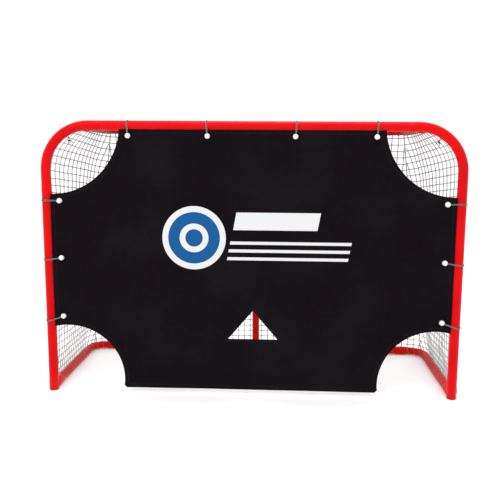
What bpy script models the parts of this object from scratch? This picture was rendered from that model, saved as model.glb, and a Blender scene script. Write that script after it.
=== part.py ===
"""Knock-down hockey goal with a hung shooting target.

The goal is a powder-coated steel tube frame with its net outside it, and a black target sheet that
ball bungees hold in the mouth.  Units are metres and +Z is up.  The mouth faces -Y and X is the width.
The origin is on the ground, in the middle of the whole object's box.
"""
import math

import bmesh
import bpy
from mathutils import Matrix, Vector

# ---- Driving dimensions ------------------------------------------------------------------------------
GOAL_WIDTH = 1.8288          # clear width between the posts, 6 ft
GOAL_HEIGHT = 1.2192         # clear height under the crossbar, 4 ft
POST_RADIUS = 0.022225       # front tube, 1 3/4 in
REAR_RADIUS = 0.01905        # base, shelf and centre tube, 1 1/2 in
SOCKET_RADIUS = 0.022        # outside of the sleeves that take a rear tube
TUBE_WALL = 0.0015
GAP = 0.0003                 # between pieces that touch

FRONT_Y = -0.3237            # plane of the posts and the crossbar
BASE_DEPTH = 0.665           # from that plane to the back bar's axis
SHELF_DEPTH = 0.43           # from that plane to the shelf bar's axis
SHELF_LEVEL = 0.004          # the shelf's arms meet the front tube this far below its axis
SHELF_DROP = 0.006           # and fall this much more towards the back
SHELF_ARM_X = 0.75

FRONT_BEND = 0.20            # bend radii, on the tubes' axes
BASE_BEND = 0.085
SHELF_BEND = 0.08

CROSSBAR_JOINT_X = 0.68      # where the posts' bent ends stop
CROSSBAR_SPIGOT = 0.055      # length of the crossbar's reduced ends
STUB_LENGTH = 0.09           # sleeves on the posts, from the post's axis
SOCKET_LENGTH = 0.055        # bore of the sleeves in the back bar's joints
SOCKET_NECK = 0.014          # their necks, which grip the tube that carries them
CENTRE_SPIGOT = 0.075        # spigots inside the centre post, from the bars' axes

POST_X = GOAL_WIDTH / 2 + POST_RADIUS
BAR_Z = GOAL_HEIGHT + POST_RADIUS
BASE_Z = SOCKET_RADIUS       # the sleeves rest on the ground
BACK_Y = FRONT_Y + BASE_DEPTH
SHELF_Y = FRONT_Y + SHELF_DEPTH
SHELF_FRONT_Z = BAR_Z - SHELF_LEVEL
SHELF_Z = SHELF_FRONT_Z - SHELF_DROP
BASE_BEND_X = POST_X - BASE_BEND

SHEET_THICKNESS = 0.0012
SHEET_Y = FRONT_Y - 0.017    # middle of the sheet, just in front of the tubes' inner edges
SHEET_HALF_WIDTH = 0.9150
SHEET_TOP = 1.2245
SHEET_BOTTOM = 0.026
TOP_CUT = (0.9085, 1.251, 0.317)     # x, z and radius of the upper corner cut-outs
BOTTOM_CUT = (0.8495, 0.061, 0.261)  # the same, for the lower ones
SHEET_CORNER = 0.012
HOLE_X = 0.012
HOLE_BASE_Z = 0.270
HOLE_HALF_WIDTH = 0.114
HOLE_HEIGHT = 0.134

BALL_RADIUS = 0.0124
CORD_RADIUS = 0.0021
GROMMET_BORE = 0.0055
GROMMET_BARREL = 0.0062
GROMMET_LIP = 0.0105
GROMMET_LIP_HEIGHT = 0.0014
TOP_TIES = ((0.1950, 0.005), (0.5507, 0.0045))                   # x of the ball, x shift at the bar
SIDE_TIES = (("upper", 0.904, 0.0), ("middle", 0.642, -0.0125), ("lower", 0.367, -0.027))
TOP_TIE_REACH = 0.0455       # from the bar's axis to the ball's
SIDE_TIE_REACH = 0.0670

NET_OFFSET = 0.0243          # from the rear tubes' axes to the middle of the net
NET_THICKNESS = 0.003
NET_SEAM = 0.001             # half the gap between two net panels

BUTTON_RADIUS = 0.004
BUTTON_HOLE = 0.0043
BUTTON_FLANGE = 0.0062
BUTTON_FLANGE_HEIGHT = 0.0012
SCREW_RADIUS = 0.003
SCREW_HOLE = 0.0033
SCREW_HEAD = 0.0055

TUBE_SIDES = 16
COLLECTION = "hockey_goal"


# ---- Scene and object helpers ------------------------------------------------------------------------
def clear_scene():
    for obj in list(bpy.data.objects):
        bpy.data.objects.remove(obj, do_unlink=True)


def make_collection(name):
    collection = bpy.data.collections.new(name)
    bpy.context.scene.collection.children.link(collection)
    return collection


def make_material(name, colour, roughness, metallic=0.0):
    material = bpy.data.materials.new(name)
    material.use_nodes = True
    shader = material.node_tree.nodes["Principled BSDF"]
    shader.inputs["Base Color"].default_value = (*colour, 1.0)
    shader.inputs["Roughness"].default_value = roughness
    shader.inputs["Metallic"].default_value = metallic
    return material


def add_mesh_object(name, mesh, collection, material=None, sharp_angle=35.0):
    obj = bpy.data.objects.new(name, mesh)
    collection.objects.link(obj)
    mesh.shade_smooth()
    mesh.set_sharp_from_angle(angle=math.radians(sharp_angle))
    if material is not None:
        mesh.materials.clear()
        mesh.materials.append(material)
    return obj


def bake(obj):
    """Replace an object by one with its evaluated mesh, at the same place."""
    bpy.context.view_layer.update()
    graph = bpy.context.evaluated_depsgraph_get()
    mesh = bpy.data.meshes.new_from_object(obj.evaluated_get(graph))
    name = obj.name
    place = obj.matrix_world.copy()
    collection = obj.users_collection[0]
    bpy.data.objects.remove(obj, do_unlink=True)
    baked = add_mesh_object(name, mesh, collection)
    baked.matrix_world = place
    return baked


def as_cutter(obj):
    obj.hide_render = True
    obj.display_type = "WIRE"
    return obj


def boolean(obj, other, operation):
    modifier = obj.modifiers.new(operation.lower(), "BOOLEAN")
    modifier.operation = operation
    modifier.solver = "EXACT"
    modifier.object = other
    as_cutter(other)


# ---- Shape helpers -----------------------------------------------------------------------------------
def frame_to(direction, origin=(0.0, 0.0, 0.0)):
    """A matrix that turns +Z to a direction and moves the origin."""
    turn = Vector(direction).normalized().to_track_quat("Z", "Y").to_matrix().to_4x4()
    return Matrix.Translation(Vector(origin)) @ turn


def turned(name, profile, direction, origin, collection, material, sides=TUBE_SIDES):
    """A closed (radius, height) loop, or one that starts and ends on the axis, turned about an axis."""
    on_axis = profile[0][0] == 0.0
    mesh = bpy.data.meshes.new(name)
    points = [(radius, 0.0, height) for radius, height in profile]
    edges = [(i, i + 1) for i in range(len(points) - 1)]
    if not on_axis:
        edges.append((len(points) - 1, 0))
    mesh.from_pydata(points, edges, [])
    obj = bpy.data.objects.new(name, mesh)
    collection.objects.link(obj)
    screw = obj.modifiers.new("turn", "SCREW")
    screw.steps = sides
    screw.render_steps = sides
    screw.use_merge_vertices = True
    screw.merge_threshold = 0.00005
    screw.use_normal_calculate = True
    obj.matrix_world = frame_to(direction, origin)
    obj = bake(obj)
    orient_outward(obj.data)
    if material is not None:
        obj.data.materials.append(material)
    return obj


def orient_outward(mesh):
    work = bmesh.new()
    work.from_mesh(mesh)
    bmesh.ops.remove_doubles(work, verts=work.verts, dist=0.00001)
    bmesh.ops.recalc_face_normals(work, faces=work.faces)
    if work.calc_volume(signed=True) < 0.0:
        bmesh.ops.reverse_faces(work, faces=work.faces)
    work.to_mesh(mesh)
    work.free()


def pipe(name, outer, inner, start, end, direction, origin, collection, material=None, sides=TUBE_SIDES):
    """A straight tube between two heights along a direction; inner 0 makes a rod."""
    if inner > 0.0:
        profile = [(outer, end), (outer, start), (inner, start), (inner, end)]
    else:
        profile = [(0.0, end), (outer, end), (outer, start), (0.0, start)]
    return turned(name, profile, direction, origin, collection, material, sides)


def bent_tube(name, points, radius, wall, collection, material, sides=TUBE_SIDES):
    """A tube of an open curve's surface, thickened inwards, with open ends."""
    curve = bpy.data.curves.new(name, "CURVE")
    curve.dimensions = "3D"
    curve.bevel_depth = radius
    curve.bevel_resolution = sides // 2 - 2
    curve.use_fill_caps = wall == 0.0
    spline = curve.splines.new("POLY")
    spline.points.add(len(points) - 1)
    for point, place in zip(spline.points, points):
        point.co = (*place, 1.0)
    obj = bpy.data.objects.new(name, curve)
    collection.objects.link(obj)
    obj = bake(obj)
    work = bmesh.new()
    work.from_mesh(obj.data)
    bmesh.ops.remove_doubles(work, verts=work.verts, dist=0.00001)
    bmesh.ops.recalc_face_normals(work, faces=work.faces)
    work.to_mesh(obj.data)
    work.free()
    if wall > 0.0:
        shell = obj.modifiers.new("wall", "SOLIDIFY")
        shell.thickness = wall
        shell.offset = -1.0
        obj = bake(obj)
    orient_outward(obj.data)
    obj.data.materials.append(material)
    return obj


def arc(centre, start, sweep_to, radius, steps):
    """Points on a quarter or half circle, from the unit vector start towards the unit vector sweep_to."""
    a = Vector(start)
    b = Vector(sweep_to)
    points = []
    for i in range(steps + 1):
        angle = math.pi / 2 * i / steps
        points.append(Vector(centre) + radius * (a * math.cos(angle) + b * math.sin(angle)))
    return points


def grid_sheet(name, rows, thickness, collection, material):
    """A loft through rows of points, thickened evenly to both sides."""
    mesh = bpy.data.meshes.new(name)
    count = len(rows[0])
    points = [tuple(point) for row in rows for point in row]
    faces = []
    for i in range(len(rows) - 1):
        for j in range(count - 1):
            first = i * count + j
            faces.append((first, first + 1, first + count + 1, first + count))
    mesh.from_pydata(points, [], faces)
    obj = add_mesh_object(name, mesh, collection)
    shell = obj.modifiers.new("thickness", "SOLIDIFY")
    shell.thickness = thickness
    shell.offset = 0.0
    shell.use_even_offset = True
    obj = bake(obj)
    orient_outward(obj.data)
    obj.data.materials.append(material)
    return obj


def cut(obj, cutters):
    for cutter in cutters:
        boolean(obj, cutter, "DIFFERENCE")


def join(obj, others):
    for other in others:
        boolean(obj, other, "UNION")


# ---- Frame -------------------------------------------------------------------------------------------
def shelf_direction():
    return Vector((0.0, SHELF_DEPTH, -SHELF_DROP)).normalized()


def centre_post_axis():
    foot = Vector((0.0, BACK_Y, BASE_Z))
    head = Vector((0.0, SHELF_Y, SHELF_Z))
    return foot, head


def coped(name, outer, inner, length, direction, origin, main_radius, main_axis, main_origin, guides):
    """A short tube that ends against a main tube, shaped to its curve and sunk half way into its wall."""
    branch = pipe(name, outer, inner, 0.0, length, direction, origin, guides)
    saddle = pipe(name + "_saddle", main_radius - TUBE_WALL / 2, 0.0, -0.05, 0.05, main_axis, main_origin,
                  guides)
    cut(branch, [saddle])
    branch = bake(branch)
    bpy.data.objects.remove(saddle, do_unlink=True)
    return as_cutter(branch)


def post_stub(name, origin, direction, main_axis, main_origin, guides):
    """A sleeve on the front tube that takes a rear tube."""
    return coped(name, SOCKET_RADIUS, REAR_RADIUS + GAP, STUB_LENGTH, direction, origin, POST_RADIUS,
                 main_axis, main_origin, guides)


def front_post(side, name, goal, guides, paint):
    """A post with its top bend; sleeves for the base arm and the shelf arm are welded to its back."""
    bend_x = POST_X - FRONT_BEND
    bend_z = BAR_Z - FRONT_BEND
    points = [Vector((side * POST_X, FRONT_Y, 0.0))]
    points += arc((side * bend_x, FRONT_Y, bend_z), (side, 0, 0), (0, 0, 1), FRONT_BEND, 9)
    points.append(Vector((side * CROSSBAR_JOINT_X, FRONT_Y, BAR_Z)))
    post = bent_tube(name, points, POST_RADIUS, TUBE_WALL, goal, paint)
    foot = Vector((side * POST_X, FRONT_Y, BASE_Z))
    corner = Vector((side * SHELF_ARM_X, FRONT_Y, BAR_Z))
    shelf = Vector((side * SHELF_ARM_X, FRONT_Y, SHELF_FRONT_Z))
    join(post, [post_stub(name + "_base_stub", foot, (0, 1, 0), (0, 0, 1), foot, guides),
                post_stub(name + "_shelf_stub", shelf, shelf_direction(), (1, 0, 0), corner, guides)])
    cut(post, [button_hole(name, "crossbar", side, guides),
               screw_hole(name, "base", side, guides),
               screw_hole(name, "shelf", side, guides)])
    return post


def crossbar(goal, guides, paint):
    """A straight tube whose reduced ends slide into the posts' bent ends."""
    shoulder = CROSSBAR_JOINT_X - GAP
    tip = shoulder + CROSSBAR_SPIGOT
    reduced = POST_RADIUS - TUBE_WALL - GAP
    profile = [(reduced, tip), (reduced, shoulder), (POST_RADIUS, shoulder),
               (POST_RADIUS, -shoulder), (reduced, -shoulder), (reduced, -tip)]
    profile += [(reduced - TUBE_WALL, -tip), (reduced - TUBE_WALL, tip)]
    bar = turned("crossbar", profile, (1, 0, 0), (0, FRONT_Y, BAR_Z), goal, paint)
    cut(bar, [button_hole("crossbar", "crossbar", side, guides) for side in (-1, 1)])
    return bar


def base_arm(side, name, goal, guides, paint):
    """A base tube with its rear bend; the right one ends in a sleeve for the back bar."""
    end_x = BASE_BEND_X - (SOCKET_LENGTH if side < 0 else SOCKET_NECK) + 2 * GAP
    points = [Vector((side * POST_X, FRONT_Y + POST_RADIUS + 0.006, BASE_Z))]
    points += arc((side * BASE_BEND_X, BACK_Y - BASE_BEND, BASE_Z), (side, 0, 0), (0, 1, 0), BASE_BEND, 6)
    points.append(Vector((side * end_x, BACK_Y, BASE_Z)))
    arm = bent_tube(name, points, REAR_RADIUS, TUBE_WALL, goal, paint)
    if side > 0:
        join(arm, [socket(name + "_socket", BASE_BEND_X - SOCKET_NECK, guides)])
    cut(arm, [button_hole(name, "base", side, guides),
              screw_hole(name, "base", side, guides)])
    return arm


def socket(name, bore_x, guides):
    """A sleeve that opens towards -X: its bore starts at bore_x and its tapered neck is on the other side."""
    neck = REAR_RADIUS - TUBE_WALL / 2
    bore = REAR_RADIUS + GAP
    mouth = SOCKET_LENGTH - GAP
    profile = [(SOCKET_RADIUS, mouth), (SOCKET_RADIUS, 0.005 - SOCKET_NECK), (bore, -SOCKET_NECK),
               (neck, -SOCKET_NECK), (neck, -0.002), (bore, 0.0), (bore, mouth)]
    return as_cutter(turned(name, profile, (-1, 0, 0), (bore_x, BACK_Y, BASE_Z), guides, None))


def bar_spigot(name, origin, direction, guides):
    """A short tube that stands on a bar and fits inside the centre post."""
    outer = REAR_RADIUS - TUBE_WALL - GAP
    return coped(name, outer, outer - TUBE_WALL, CENTRE_SPIGOT, direction, origin, REAR_RADIUS, (1, 0, 0),
                 origin, guides)


def base_back_bar(goal, guides, paint):
    """The straight back tube: its left end carries a sleeve and its right end slides into the right arm's."""
    left_bore = SOCKET_LENGTH - BASE_BEND_X
    left_end = left_bore + 2 * GAP
    right_end = BASE_BEND_X - SOCKET_NECK - 2 * GAP
    bar = pipe("base_back_bar", REAR_RADIUS, REAR_RADIUS - TUBE_WALL, left_end, right_end, (1, 0, 0),
               (0, BACK_Y, BASE_Z), goal, paint)
    foot, head = centre_post_axis()
    join(bar, [socket("base_back_bar_socket", left_bore, guides),
               bar_spigot("base_back_bar_spigot", foot, head - foot, guides)])
    cut(bar, [button_hole("base_back_bar", "base", 1, guides),
              button_hole("base_back_bar", "base", -1, guides),
              screw_hole("base_back_bar", "foot", 0, guides)])
    return bar


def shelf_bar(goal, guides, paint):
    """A U-shaped tube whose ends slide into the shelf stubs."""
    run = shelf_direction()
    turn = SHELF_DEPTH - SHELF_BEND
    points = []
    for side in (-1, 1):
        front = Vector((side * SHELF_ARM_X, FRONT_Y, SHELF_FRONT_Z))
        centre = front + run * turn - Vector((side * SHELF_BEND, 0, 0))
        half = [front + run * (POST_RADIUS + 0.006)] + arc(centre, (side, 0, 0), run, SHELF_BEND, 6)
        points += half if side < 0 else half[::-1]
    bar = bent_tube("shelf_bar", points, REAR_RADIUS, TUBE_WALL, goal, paint)
    foot, head = centre_post_axis()
    join(bar, [bar_spigot("shelf_bar_spigot", head, foot - head, guides)])
    cut(bar, [screw_hole("shelf_bar", "shelf", -1, guides),
              screw_hole("shelf_bar", "shelf", 1, guides),
              screw_hole("shelf_bar", "head", 0, guides)])
    return bar


def centre_post(goal, guides, paint):
    """A straight tube from the back bar to the shelf bar, its ends shaped to sit on both."""
    foot, head = centre_post_axis()
    post = pipe("centre_post", REAR_RADIUS, REAR_RADIUS - TUBE_WALL, 0.0, (head - foot).length, head - foot,
                foot, goal, paint)
    for place, joint in ((foot, "foot"), (head, "head")):
        saddle = pipe("centre_post_saddle_" + joint, REAR_RADIUS + GAP, 0.0, -0.05, 0.05, (1, 0, 0), place,
                      guides, sides=2 * TUBE_SIDES)
        cut(post, [saddle, screw_hole("centre_post", joint, 0, guides)])
    return post


# ---- Joint hardware ----------------------------------------------------------------------------------
def button_place(joint, side):
    """The point on its tube's axis that a snap button stands over, and the way the button points."""
    if joint == "crossbar":
        return Vector((side * (CROSSBAR_JOINT_X + 0.025), FRONT_Y, BAR_Z)), Vector((0, 1, 0))
    return Vector((side * (BASE_BEND_X - 0.034), BACK_Y, BASE_Z)), Vector((0, 0, 1))


def hole(name, radius, place, guides):
    origin, direction = place
    return as_cutter(pipe(name, radius, 0.0, 0.0, 0.03, direction, origin, guides, sides=12))


def button_hole(owner, joint, side, guides):
    name = "%s_button_hole_%d" % (owner, side + 1)
    return hole(name, BUTTON_HOLE, button_place(joint, side), guides)


def screw_hole(owner, joint, side, guides):
    name = "%s_%s_screw_hole_%d" % (owner, joint, side + 1)
    return hole(name, SCREW_HOLE, screw_place(joint, side), guides)


def snap_button(name, joint, side, goal, steel):
    """A domed pin with a flange inside the inner tube; its origin is on its own axis and the tube's."""
    outside = POST_RADIUS if joint == "crossbar" else SOCKET_RADIUS
    crown = outside + 0.0035
    seat = inner_bore(joint) - 0.0016
    profile = [(0.0, crown), (BUTTON_RADIUS * 0.55, crown - 0.0003), (BUTTON_RADIUS * 0.9, crown - 0.0014),
               (BUTTON_RADIUS, crown - 0.003), (BUTTON_RADIUS, seat), (BUTTON_FLANGE, seat),
               (BUTTON_FLANGE, seat - BUTTON_FLANGE_HEIGHT), (0.0, seat - BUTTON_FLANGE_HEIGHT)]
    origin, direction = button_place(joint, side)
    return turned(name, profile, direction, origin, goal, steel, sides=10)


def inner_bore(joint):
    """The inner radius of a joint's inner tube."""
    if joint == "crossbar":
        return POST_RADIUS - 2 * TUBE_WALL - GAP
    return REAR_RADIUS - TUBE_WALL


def snap_spring(name, joint, side, goal, steel):
    """A bent strip that stands on the tube's far wall and pushes the button out."""
    origin, push = button_place(joint, side)
    along = Vector((side, 0, 0)) if joint == "crossbar" else Vector((-1, 0, 0))
    width = push.cross(along)
    top = inner_bore(joint) - 0.0016 - BUTTON_FLANGE_HEIGHT - GAP - 0.0004
    bottom = 0.0020 - inner_bore(joint)
    middle = (top + bottom) / 2
    outline = [(-0.0045, top), (0.006, top)]
    for i in range(9):
        angle = math.pi / 2 - math.pi * i / 8
        outline.append((0.013 + 0.008 * math.cos(angle), middle + (top - 0.0012 - middle) * math.sin(angle)))
    outline += [(0.004, bottom), (-0.0045, bottom)]
    rows = [[origin + along * u + push * v + width * w for u, v in outline] for w in (-0.003, 0.003)]
    return grid_sheet(name, rows, 0.0007, goal, steel)


def screw_place(joint, side):
    """A screw's origin on its tube's axis, and the direction that its head faces."""
    reach = STUB_LENGTH - 0.022
    if joint == "base":
        return Vector((side * POST_X, FRONT_Y + reach, BASE_Z)), Vector((0, 0, 1))
    if joint == "shelf":
        run = shelf_direction()
        start = Vector((side * SHELF_ARM_X, FRONT_Y, SHELF_FRONT_Z)) + run * reach
        return start, Vector((0, run.z, -run.y))
    foot, head = centre_post_axis()
    run = (head - foot).normalized()
    facing = Vector((0, -run.z, run.y))
    if joint == "foot":
        return foot + run * 0.050, facing
    return head - run * 0.050, facing


def screw(name, joint, side, goal, steel):
    """A self-tapping screw with a washer head."""
    outside = REAR_RADIUS if joint in ("foot", "head") else SOCKET_RADIUS
    seat = outside + GAP
    depth = outside - 0.010
    profile = [(0.0, seat + 0.0036), (SCREW_HEAD * 0.72, seat + 0.0036), (SCREW_HEAD * 0.8, seat + 0.0012),
               (SCREW_HEAD, seat + 0.0010), (SCREW_HEAD, seat), (SCREW_RADIUS, seat), (SCREW_RADIUS, depth),
               (0.0, depth - 0.002)]
    origin, facing = screw_place(joint, side)
    return turned(name, profile, facing, origin, goal, steel, sides=9)


# ---- Target sheet ------------------------------------------------------------------------------------
def cut_out(side, top):
    """A corner cut-out's arc, from the sheet's side edge to its top or bottom edge."""
    x, z, radius = TOP_CUT if top else BOTTOM_CUT
    edge = SHEET_TOP if top else SHEET_BOTTOM
    up = -1.0 if top else 1.0
    start = math.acos((SHEET_HALF_WIDTH - x) / radius)
    end = math.asin(up * (edge - z) / radius)
    steps = 10
    points = []
    for i in range(steps + 1):
        angle = start + (math.pi - end - start) * i / steps
        points.append((side * (x + radius * math.cos(angle)), z + up * radius * math.sin(angle)))
    return points


def add_loop(curve, points):
    spline = curve.splines.new("POLY")
    spline.points.add(len(points) - 1)
    for point, (x, z) in zip(spline.points, points):
        point.co = (x, z, 0.0, 1.0)
    spline.use_cyclic_u = True


def ring(centre, radius, steps):
    return [(centre[0] + radius * math.cos(2 * math.pi * i / steps),
             centre[1] + radius * math.sin(2 * math.pi * i / steps)) for i in range(steps)]


def target_sheet(goal, black):
    """The hung sheet: four rounded corner cut-outs, a low triangle and a hole for each grommet."""
    curve = bpy.data.curves.new("target_sheet", "CURVE")
    curve.dimensions = "2D"
    curve.fill_mode = "BOTH"
    curve.extrude = SHEET_THICKNESS / 2
    outline = cut_out(1, True)
    outline += cut_out(-1, True)[::-1]
    outline += clipped(cut_out(-1, False))
    outline += clipped(cut_out(1, False))[::-1]
    add_loop(curve, outline)
    add_loop(curve, [(HOLE_X - HOLE_HALF_WIDTH, HOLE_BASE_Z), (HOLE_X + HOLE_HALF_WIDTH, HOLE_BASE_Z),
                     (HOLE_X, HOLE_BASE_Z + HOLE_HEIGHT)])
    for tie in ties():
        add_loop(curve, ring((tie["ball"].x, tie["ball"].z), GROMMET_BARREL + GAP, 12))
    obj = bpy.data.objects.new("target_sheet", curve)
    goal.objects.link(obj)
    obj.matrix_world = Matrix.Translation((0, SHEET_Y, 0)) @ Matrix.Rotation(math.pi / 2, 4, "X")
    obj = bake(obj)
    orient_outward(obj.data)
    obj.data.materials.append(black)
    return obj


def clipped(points):
    """An arc that ends on the bottom edge, with its sharp corner cut off."""
    x, z = points[-1]
    return points[:-1] + [(x, z + SHEET_CORNER), (x - math.copysign(SHEET_CORNER, x), z)]


# ---- Ball bungees ------------------------------------------------------------------------------------
def ties():
    """Every bungee: its name, its ball's centre, the way to its tube, and its cord's shift at the tube."""
    found = []
    y = SHEET_Y - SHEET_THICKNESS / 2 - GAP - GROMMET_LIP_HEIGHT - GAP - BALL_RADIUS + 0.0010
    for x, shift in TOP_TIES:
        for side, word in ((-1, "left"), (1, "right")):
            name = "top_%s_%s" % ("inner" if x < 0.4 else "outer", word)
            found.append({"name": name, "ball": Vector((side * x, y, BAR_Z - TOP_TIE_REACH)),
                          "out": Vector((0, 0, 1)), "shift": Vector((side * shift, 0, 0)),
                          "reach": TOP_TIE_REACH})
    for level, z, shift in SIDE_TIES:
        for side, word in ((-1, "left"), (1, "right")):
            name = "%s_%s" % (word, level)
            found.append({"name": name, "ball": Vector((side * (POST_X - SIDE_TIE_REACH), y, z)),
                          "out": Vector((side, 0, 0)), "shift": Vector((0, 0, shift)),
                          "reach": SIDE_TIE_REACH})
    return found


def grommet(tie, goal, nickel):
    """An eyelet rolled over both faces of the sheet."""
    face = SHEET_THICKNESS / 2 + GAP
    outer = face + GROMMET_LIP_HEIGHT
    profile = [(GROMMET_BARREL, -face), (GROMMET_LIP, -face), (GROMMET_LIP - 0.0016, -outer),
               (GROMMET_BORE, -outer)]
    profile += [(radius, -height) for radius, height in profile[::-1]]
    place = (tie["ball"].x, SHEET_Y, tie["ball"].z)
    return turned("grommet_" + tie["name"], profile, (0, -1, 0), place, goal, nickel, sides=12)


def ball(tie, goal, white):
    """The ball that stops a bungee's cord; its origin is its centre."""
    mesh = bpy.data.meshes.new("ball_" + tie["name"])
    work = bmesh.new()
    bmesh.ops.create_uvsphere(work, u_segments=12, v_segments=8, radius=BALL_RADIUS)
    bmesh.ops.rotate(work, verts=work.verts, matrix=Matrix.Rotation(math.pi / 2, 3, "X"))
    work.to_mesh(mesh)
    work.free()
    obj = add_mesh_object("ball_" + tie["name"], mesh, goal, white)
    obj.location = tie["ball"]
    return obj


def cord_route(tie):
    """From the ball's outer side over the tube, round behind it and into the grommet from the back."""
    front = Vector((0, -1, 0))
    ball_front = FRONT_Y - tie["ball"].y
    sheet_front = FRONT_Y - SHEET_Y
    axis = tie["ball"] + tie["out"] * tie["reach"] - front * ball_front
    wrap = POST_RADIUS + CORD_RADIUS + 0.0011
    start = (BALL_RADIUS + CORD_RADIUS / 5 - tie["reach"], ball_front)
    behind = (-tie["reach"], sheet_front - 0.0095)
    first = math.atan2(start[1], start[0]) - math.acos(wrap / math.hypot(*start))
    last = math.atan2(behind[1], behind[0]) + math.acos(wrap / math.hypot(*behind)) - 2 * math.pi
    route = [start]
    steps = 9
    for i in range(steps + 1):
        angle = first + (last - first) * i / steps
        route.append((wrap * math.cos(angle), wrap * math.sin(angle)))
    route += [behind, (-tie["reach"], sheet_front + SHEET_THICKNESS / 2 + 0.0006)]
    points = []
    for along, forward in route:
        near_tube = min(1.0, (along + tie["reach"]) / (tie["reach"] - 0.010))
        points.append(axis + tie["out"] * along + front * forward + tie["shift"] * near_tube)
    return points


def cord(tie, goal, elastic):
    return bent_tube("cord_" + tie["name"], cord_route(tie), CORD_RADIUS, 0.0, goal, elastic, sides=6)


# ---- Net ---------------------------------------------------------------------------------------------
def net_outline(arm_x, bend, depth, front_z, back_z, side_steps, bend_steps, back_steps):
    """Half of the net's edge outside a U of rear tube: from the post, round the corner, to the middle."""
    radius = bend + NET_OFFSET
    side_x = arm_x + NET_OFFSET
    corner_x = side_x - radius
    corner_y = FRONT_Y + depth - bend
    points = []
    for i in range(side_steps):
        points.append(Vector((side_x, FRONT_Y + (corner_y - FRONT_Y) * i / side_steps, 0.0)))
    for i in range(bend_steps):
        angle = math.pi / 2 * i / bend_steps
        points.append(Vector((corner_x + radius * math.cos(angle), corner_y + radius * math.sin(angle), 0.0)))
    for i in range(back_steps + 1):
        points.append(Vector((corner_x * (1 - i / back_steps), corner_y + radius, 0.0)))
    for point in points:
        point.z = front_z + (back_z - front_z) * (point.y - FRONT_Y) / depth
    return points


def base_outline(side_steps, bend_steps, back_steps):
    return net_outline(POST_X, BASE_BEND, BASE_DEPTH, BASE_Z, BASE_Z, side_steps, bend_steps, back_steps)


def shelf_outline(side_steps, bend_steps, back_steps):
    return net_outline(SHELF_ARM_X, SHELF_BEND, SHELF_DEPTH, SHELF_FRONT_Z, SHELF_Z, side_steps, bend_steps,
                       back_steps)


def front_edge(heights):
    """The net's edge behind a post and its bend, from beside the base stub to beside the shelf stub."""
    bend_x = POST_X - FRONT_BEND
    bend_z = BAR_Z - FRONT_BEND
    straight = bend_z - BASE_Z
    swing = math.acos((SHELF_ARM_X + NET_OFFSET - bend_x) / FRONT_BEND)
    total = straight + FRONT_BEND * swing
    clear = POST_RADIUS + 2 * CORD_RADIUS + NET_THICKNESS / 2 + 0.0018
    points = []
    for height in heights:
        run = height * total
        turn = max(0.0, run - straight) / FRONT_BEND
        x = bend_x + FRONT_BEND * math.cos(turn)
        z = bend_z + FRONT_BEND * math.sin(turn) if turn > 0.0 else BASE_Z + run
        lean = math.radians(67.5 - 37.5 * min(1.0, height / 0.1)) * min(1.0, 8.0 * (1.0 - height))
        outward = Vector((math.cos(turn), 0, math.sin(turn)))
        points.append(Vector((x, FRONT_Y, z)) + outward * clear * math.sin(lean) +
                      Vector((0, clear * math.cos(lean), 0)))
    return points


def side_net(side, name, goal, white):
    """The panel stretched between a post, the base arm, the shelf arm and the net's rear corner."""
    heights = [i / 10 for i in range(11)]
    front = front_edge(heights)
    bottom = [front[0]] + base_outline(5, 4, 1)[1:8]
    top = [front[-1]] + shelf_outline(5, 4, 1)[1:8]
    rows = []
    for edge, height in zip(front, heights):
        row = []
        for i, (low, high) in enumerate(zip(bottom, top)):
            share = i / (len(bottom) - 1)
            across = edge.lerp(bottom[-1].lerp(top[-1], height), share)
            corners = bottom[0].lerp(bottom[-1], share).lerp(top[0].lerp(top[-1], share), height)
            point = across + low.lerp(high, height) - corners
            row.append(Vector((side * point.x, point.y, point.z)))
        row[-1] += (row[-2] - row[-1]).normalized() * NET_SEAM
        rows.append(row)
    return grid_sheet(name, rows, NET_THICKNESS, goal, white)


def back_net(goal, white):
    """The panel behind the frame, round half of each rear corner."""
    bottom = base_outline(5, 4, 3)[7:]
    top = shelf_outline(5, 4, 3)[7:]
    rows = []
    for j in range(7):
        half = [low.lerp(high, j / 6) for low, high in zip(bottom, top)]
        half[0] += (half[1] - half[0]).normalized() * NET_SEAM
        mirrored = [Vector((-point.x, point.y, point.z)) for point in half]
        rows.append(half[:-1] + mirrored[::-1])
    return grid_sheet("net_back_panel", rows, NET_THICKNESS, goal, white)


def top_net(goal, white):
    """The panel that lies on the shelf bar, from behind the crossbar."""
    lift = SOCKET_RADIUS + GAP + NET_THICKNESS / 2
    outline = shelf_outline(5, 6, 1)[:-1]
    corner = Vector((SHELF_ARM_X - SHELF_BEND, FRONT_Y + SHELF_DEPTH - SHELF_BEND, 0.0))
    rows = []
    for point in outline:
        if point.y > corner.y:
            arm = Vector((point.x - corner.x, point.y - corner.y, 0.0)).normalized() * SHELF_BEND
            x, y = corner.x + arm.x, corner.y + arm.y
        else:
            x, y = SHELF_ARM_X, max(point.y, FRONT_Y + 0.0235)
        rows.append([Vector((x * share, y, point.z + lift)) for share in (-1, -0.5, 0, 0.5, 1)])
    return grid_sheet("net_top_panel", rows, NET_THICKNESS, goal, white)


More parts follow.
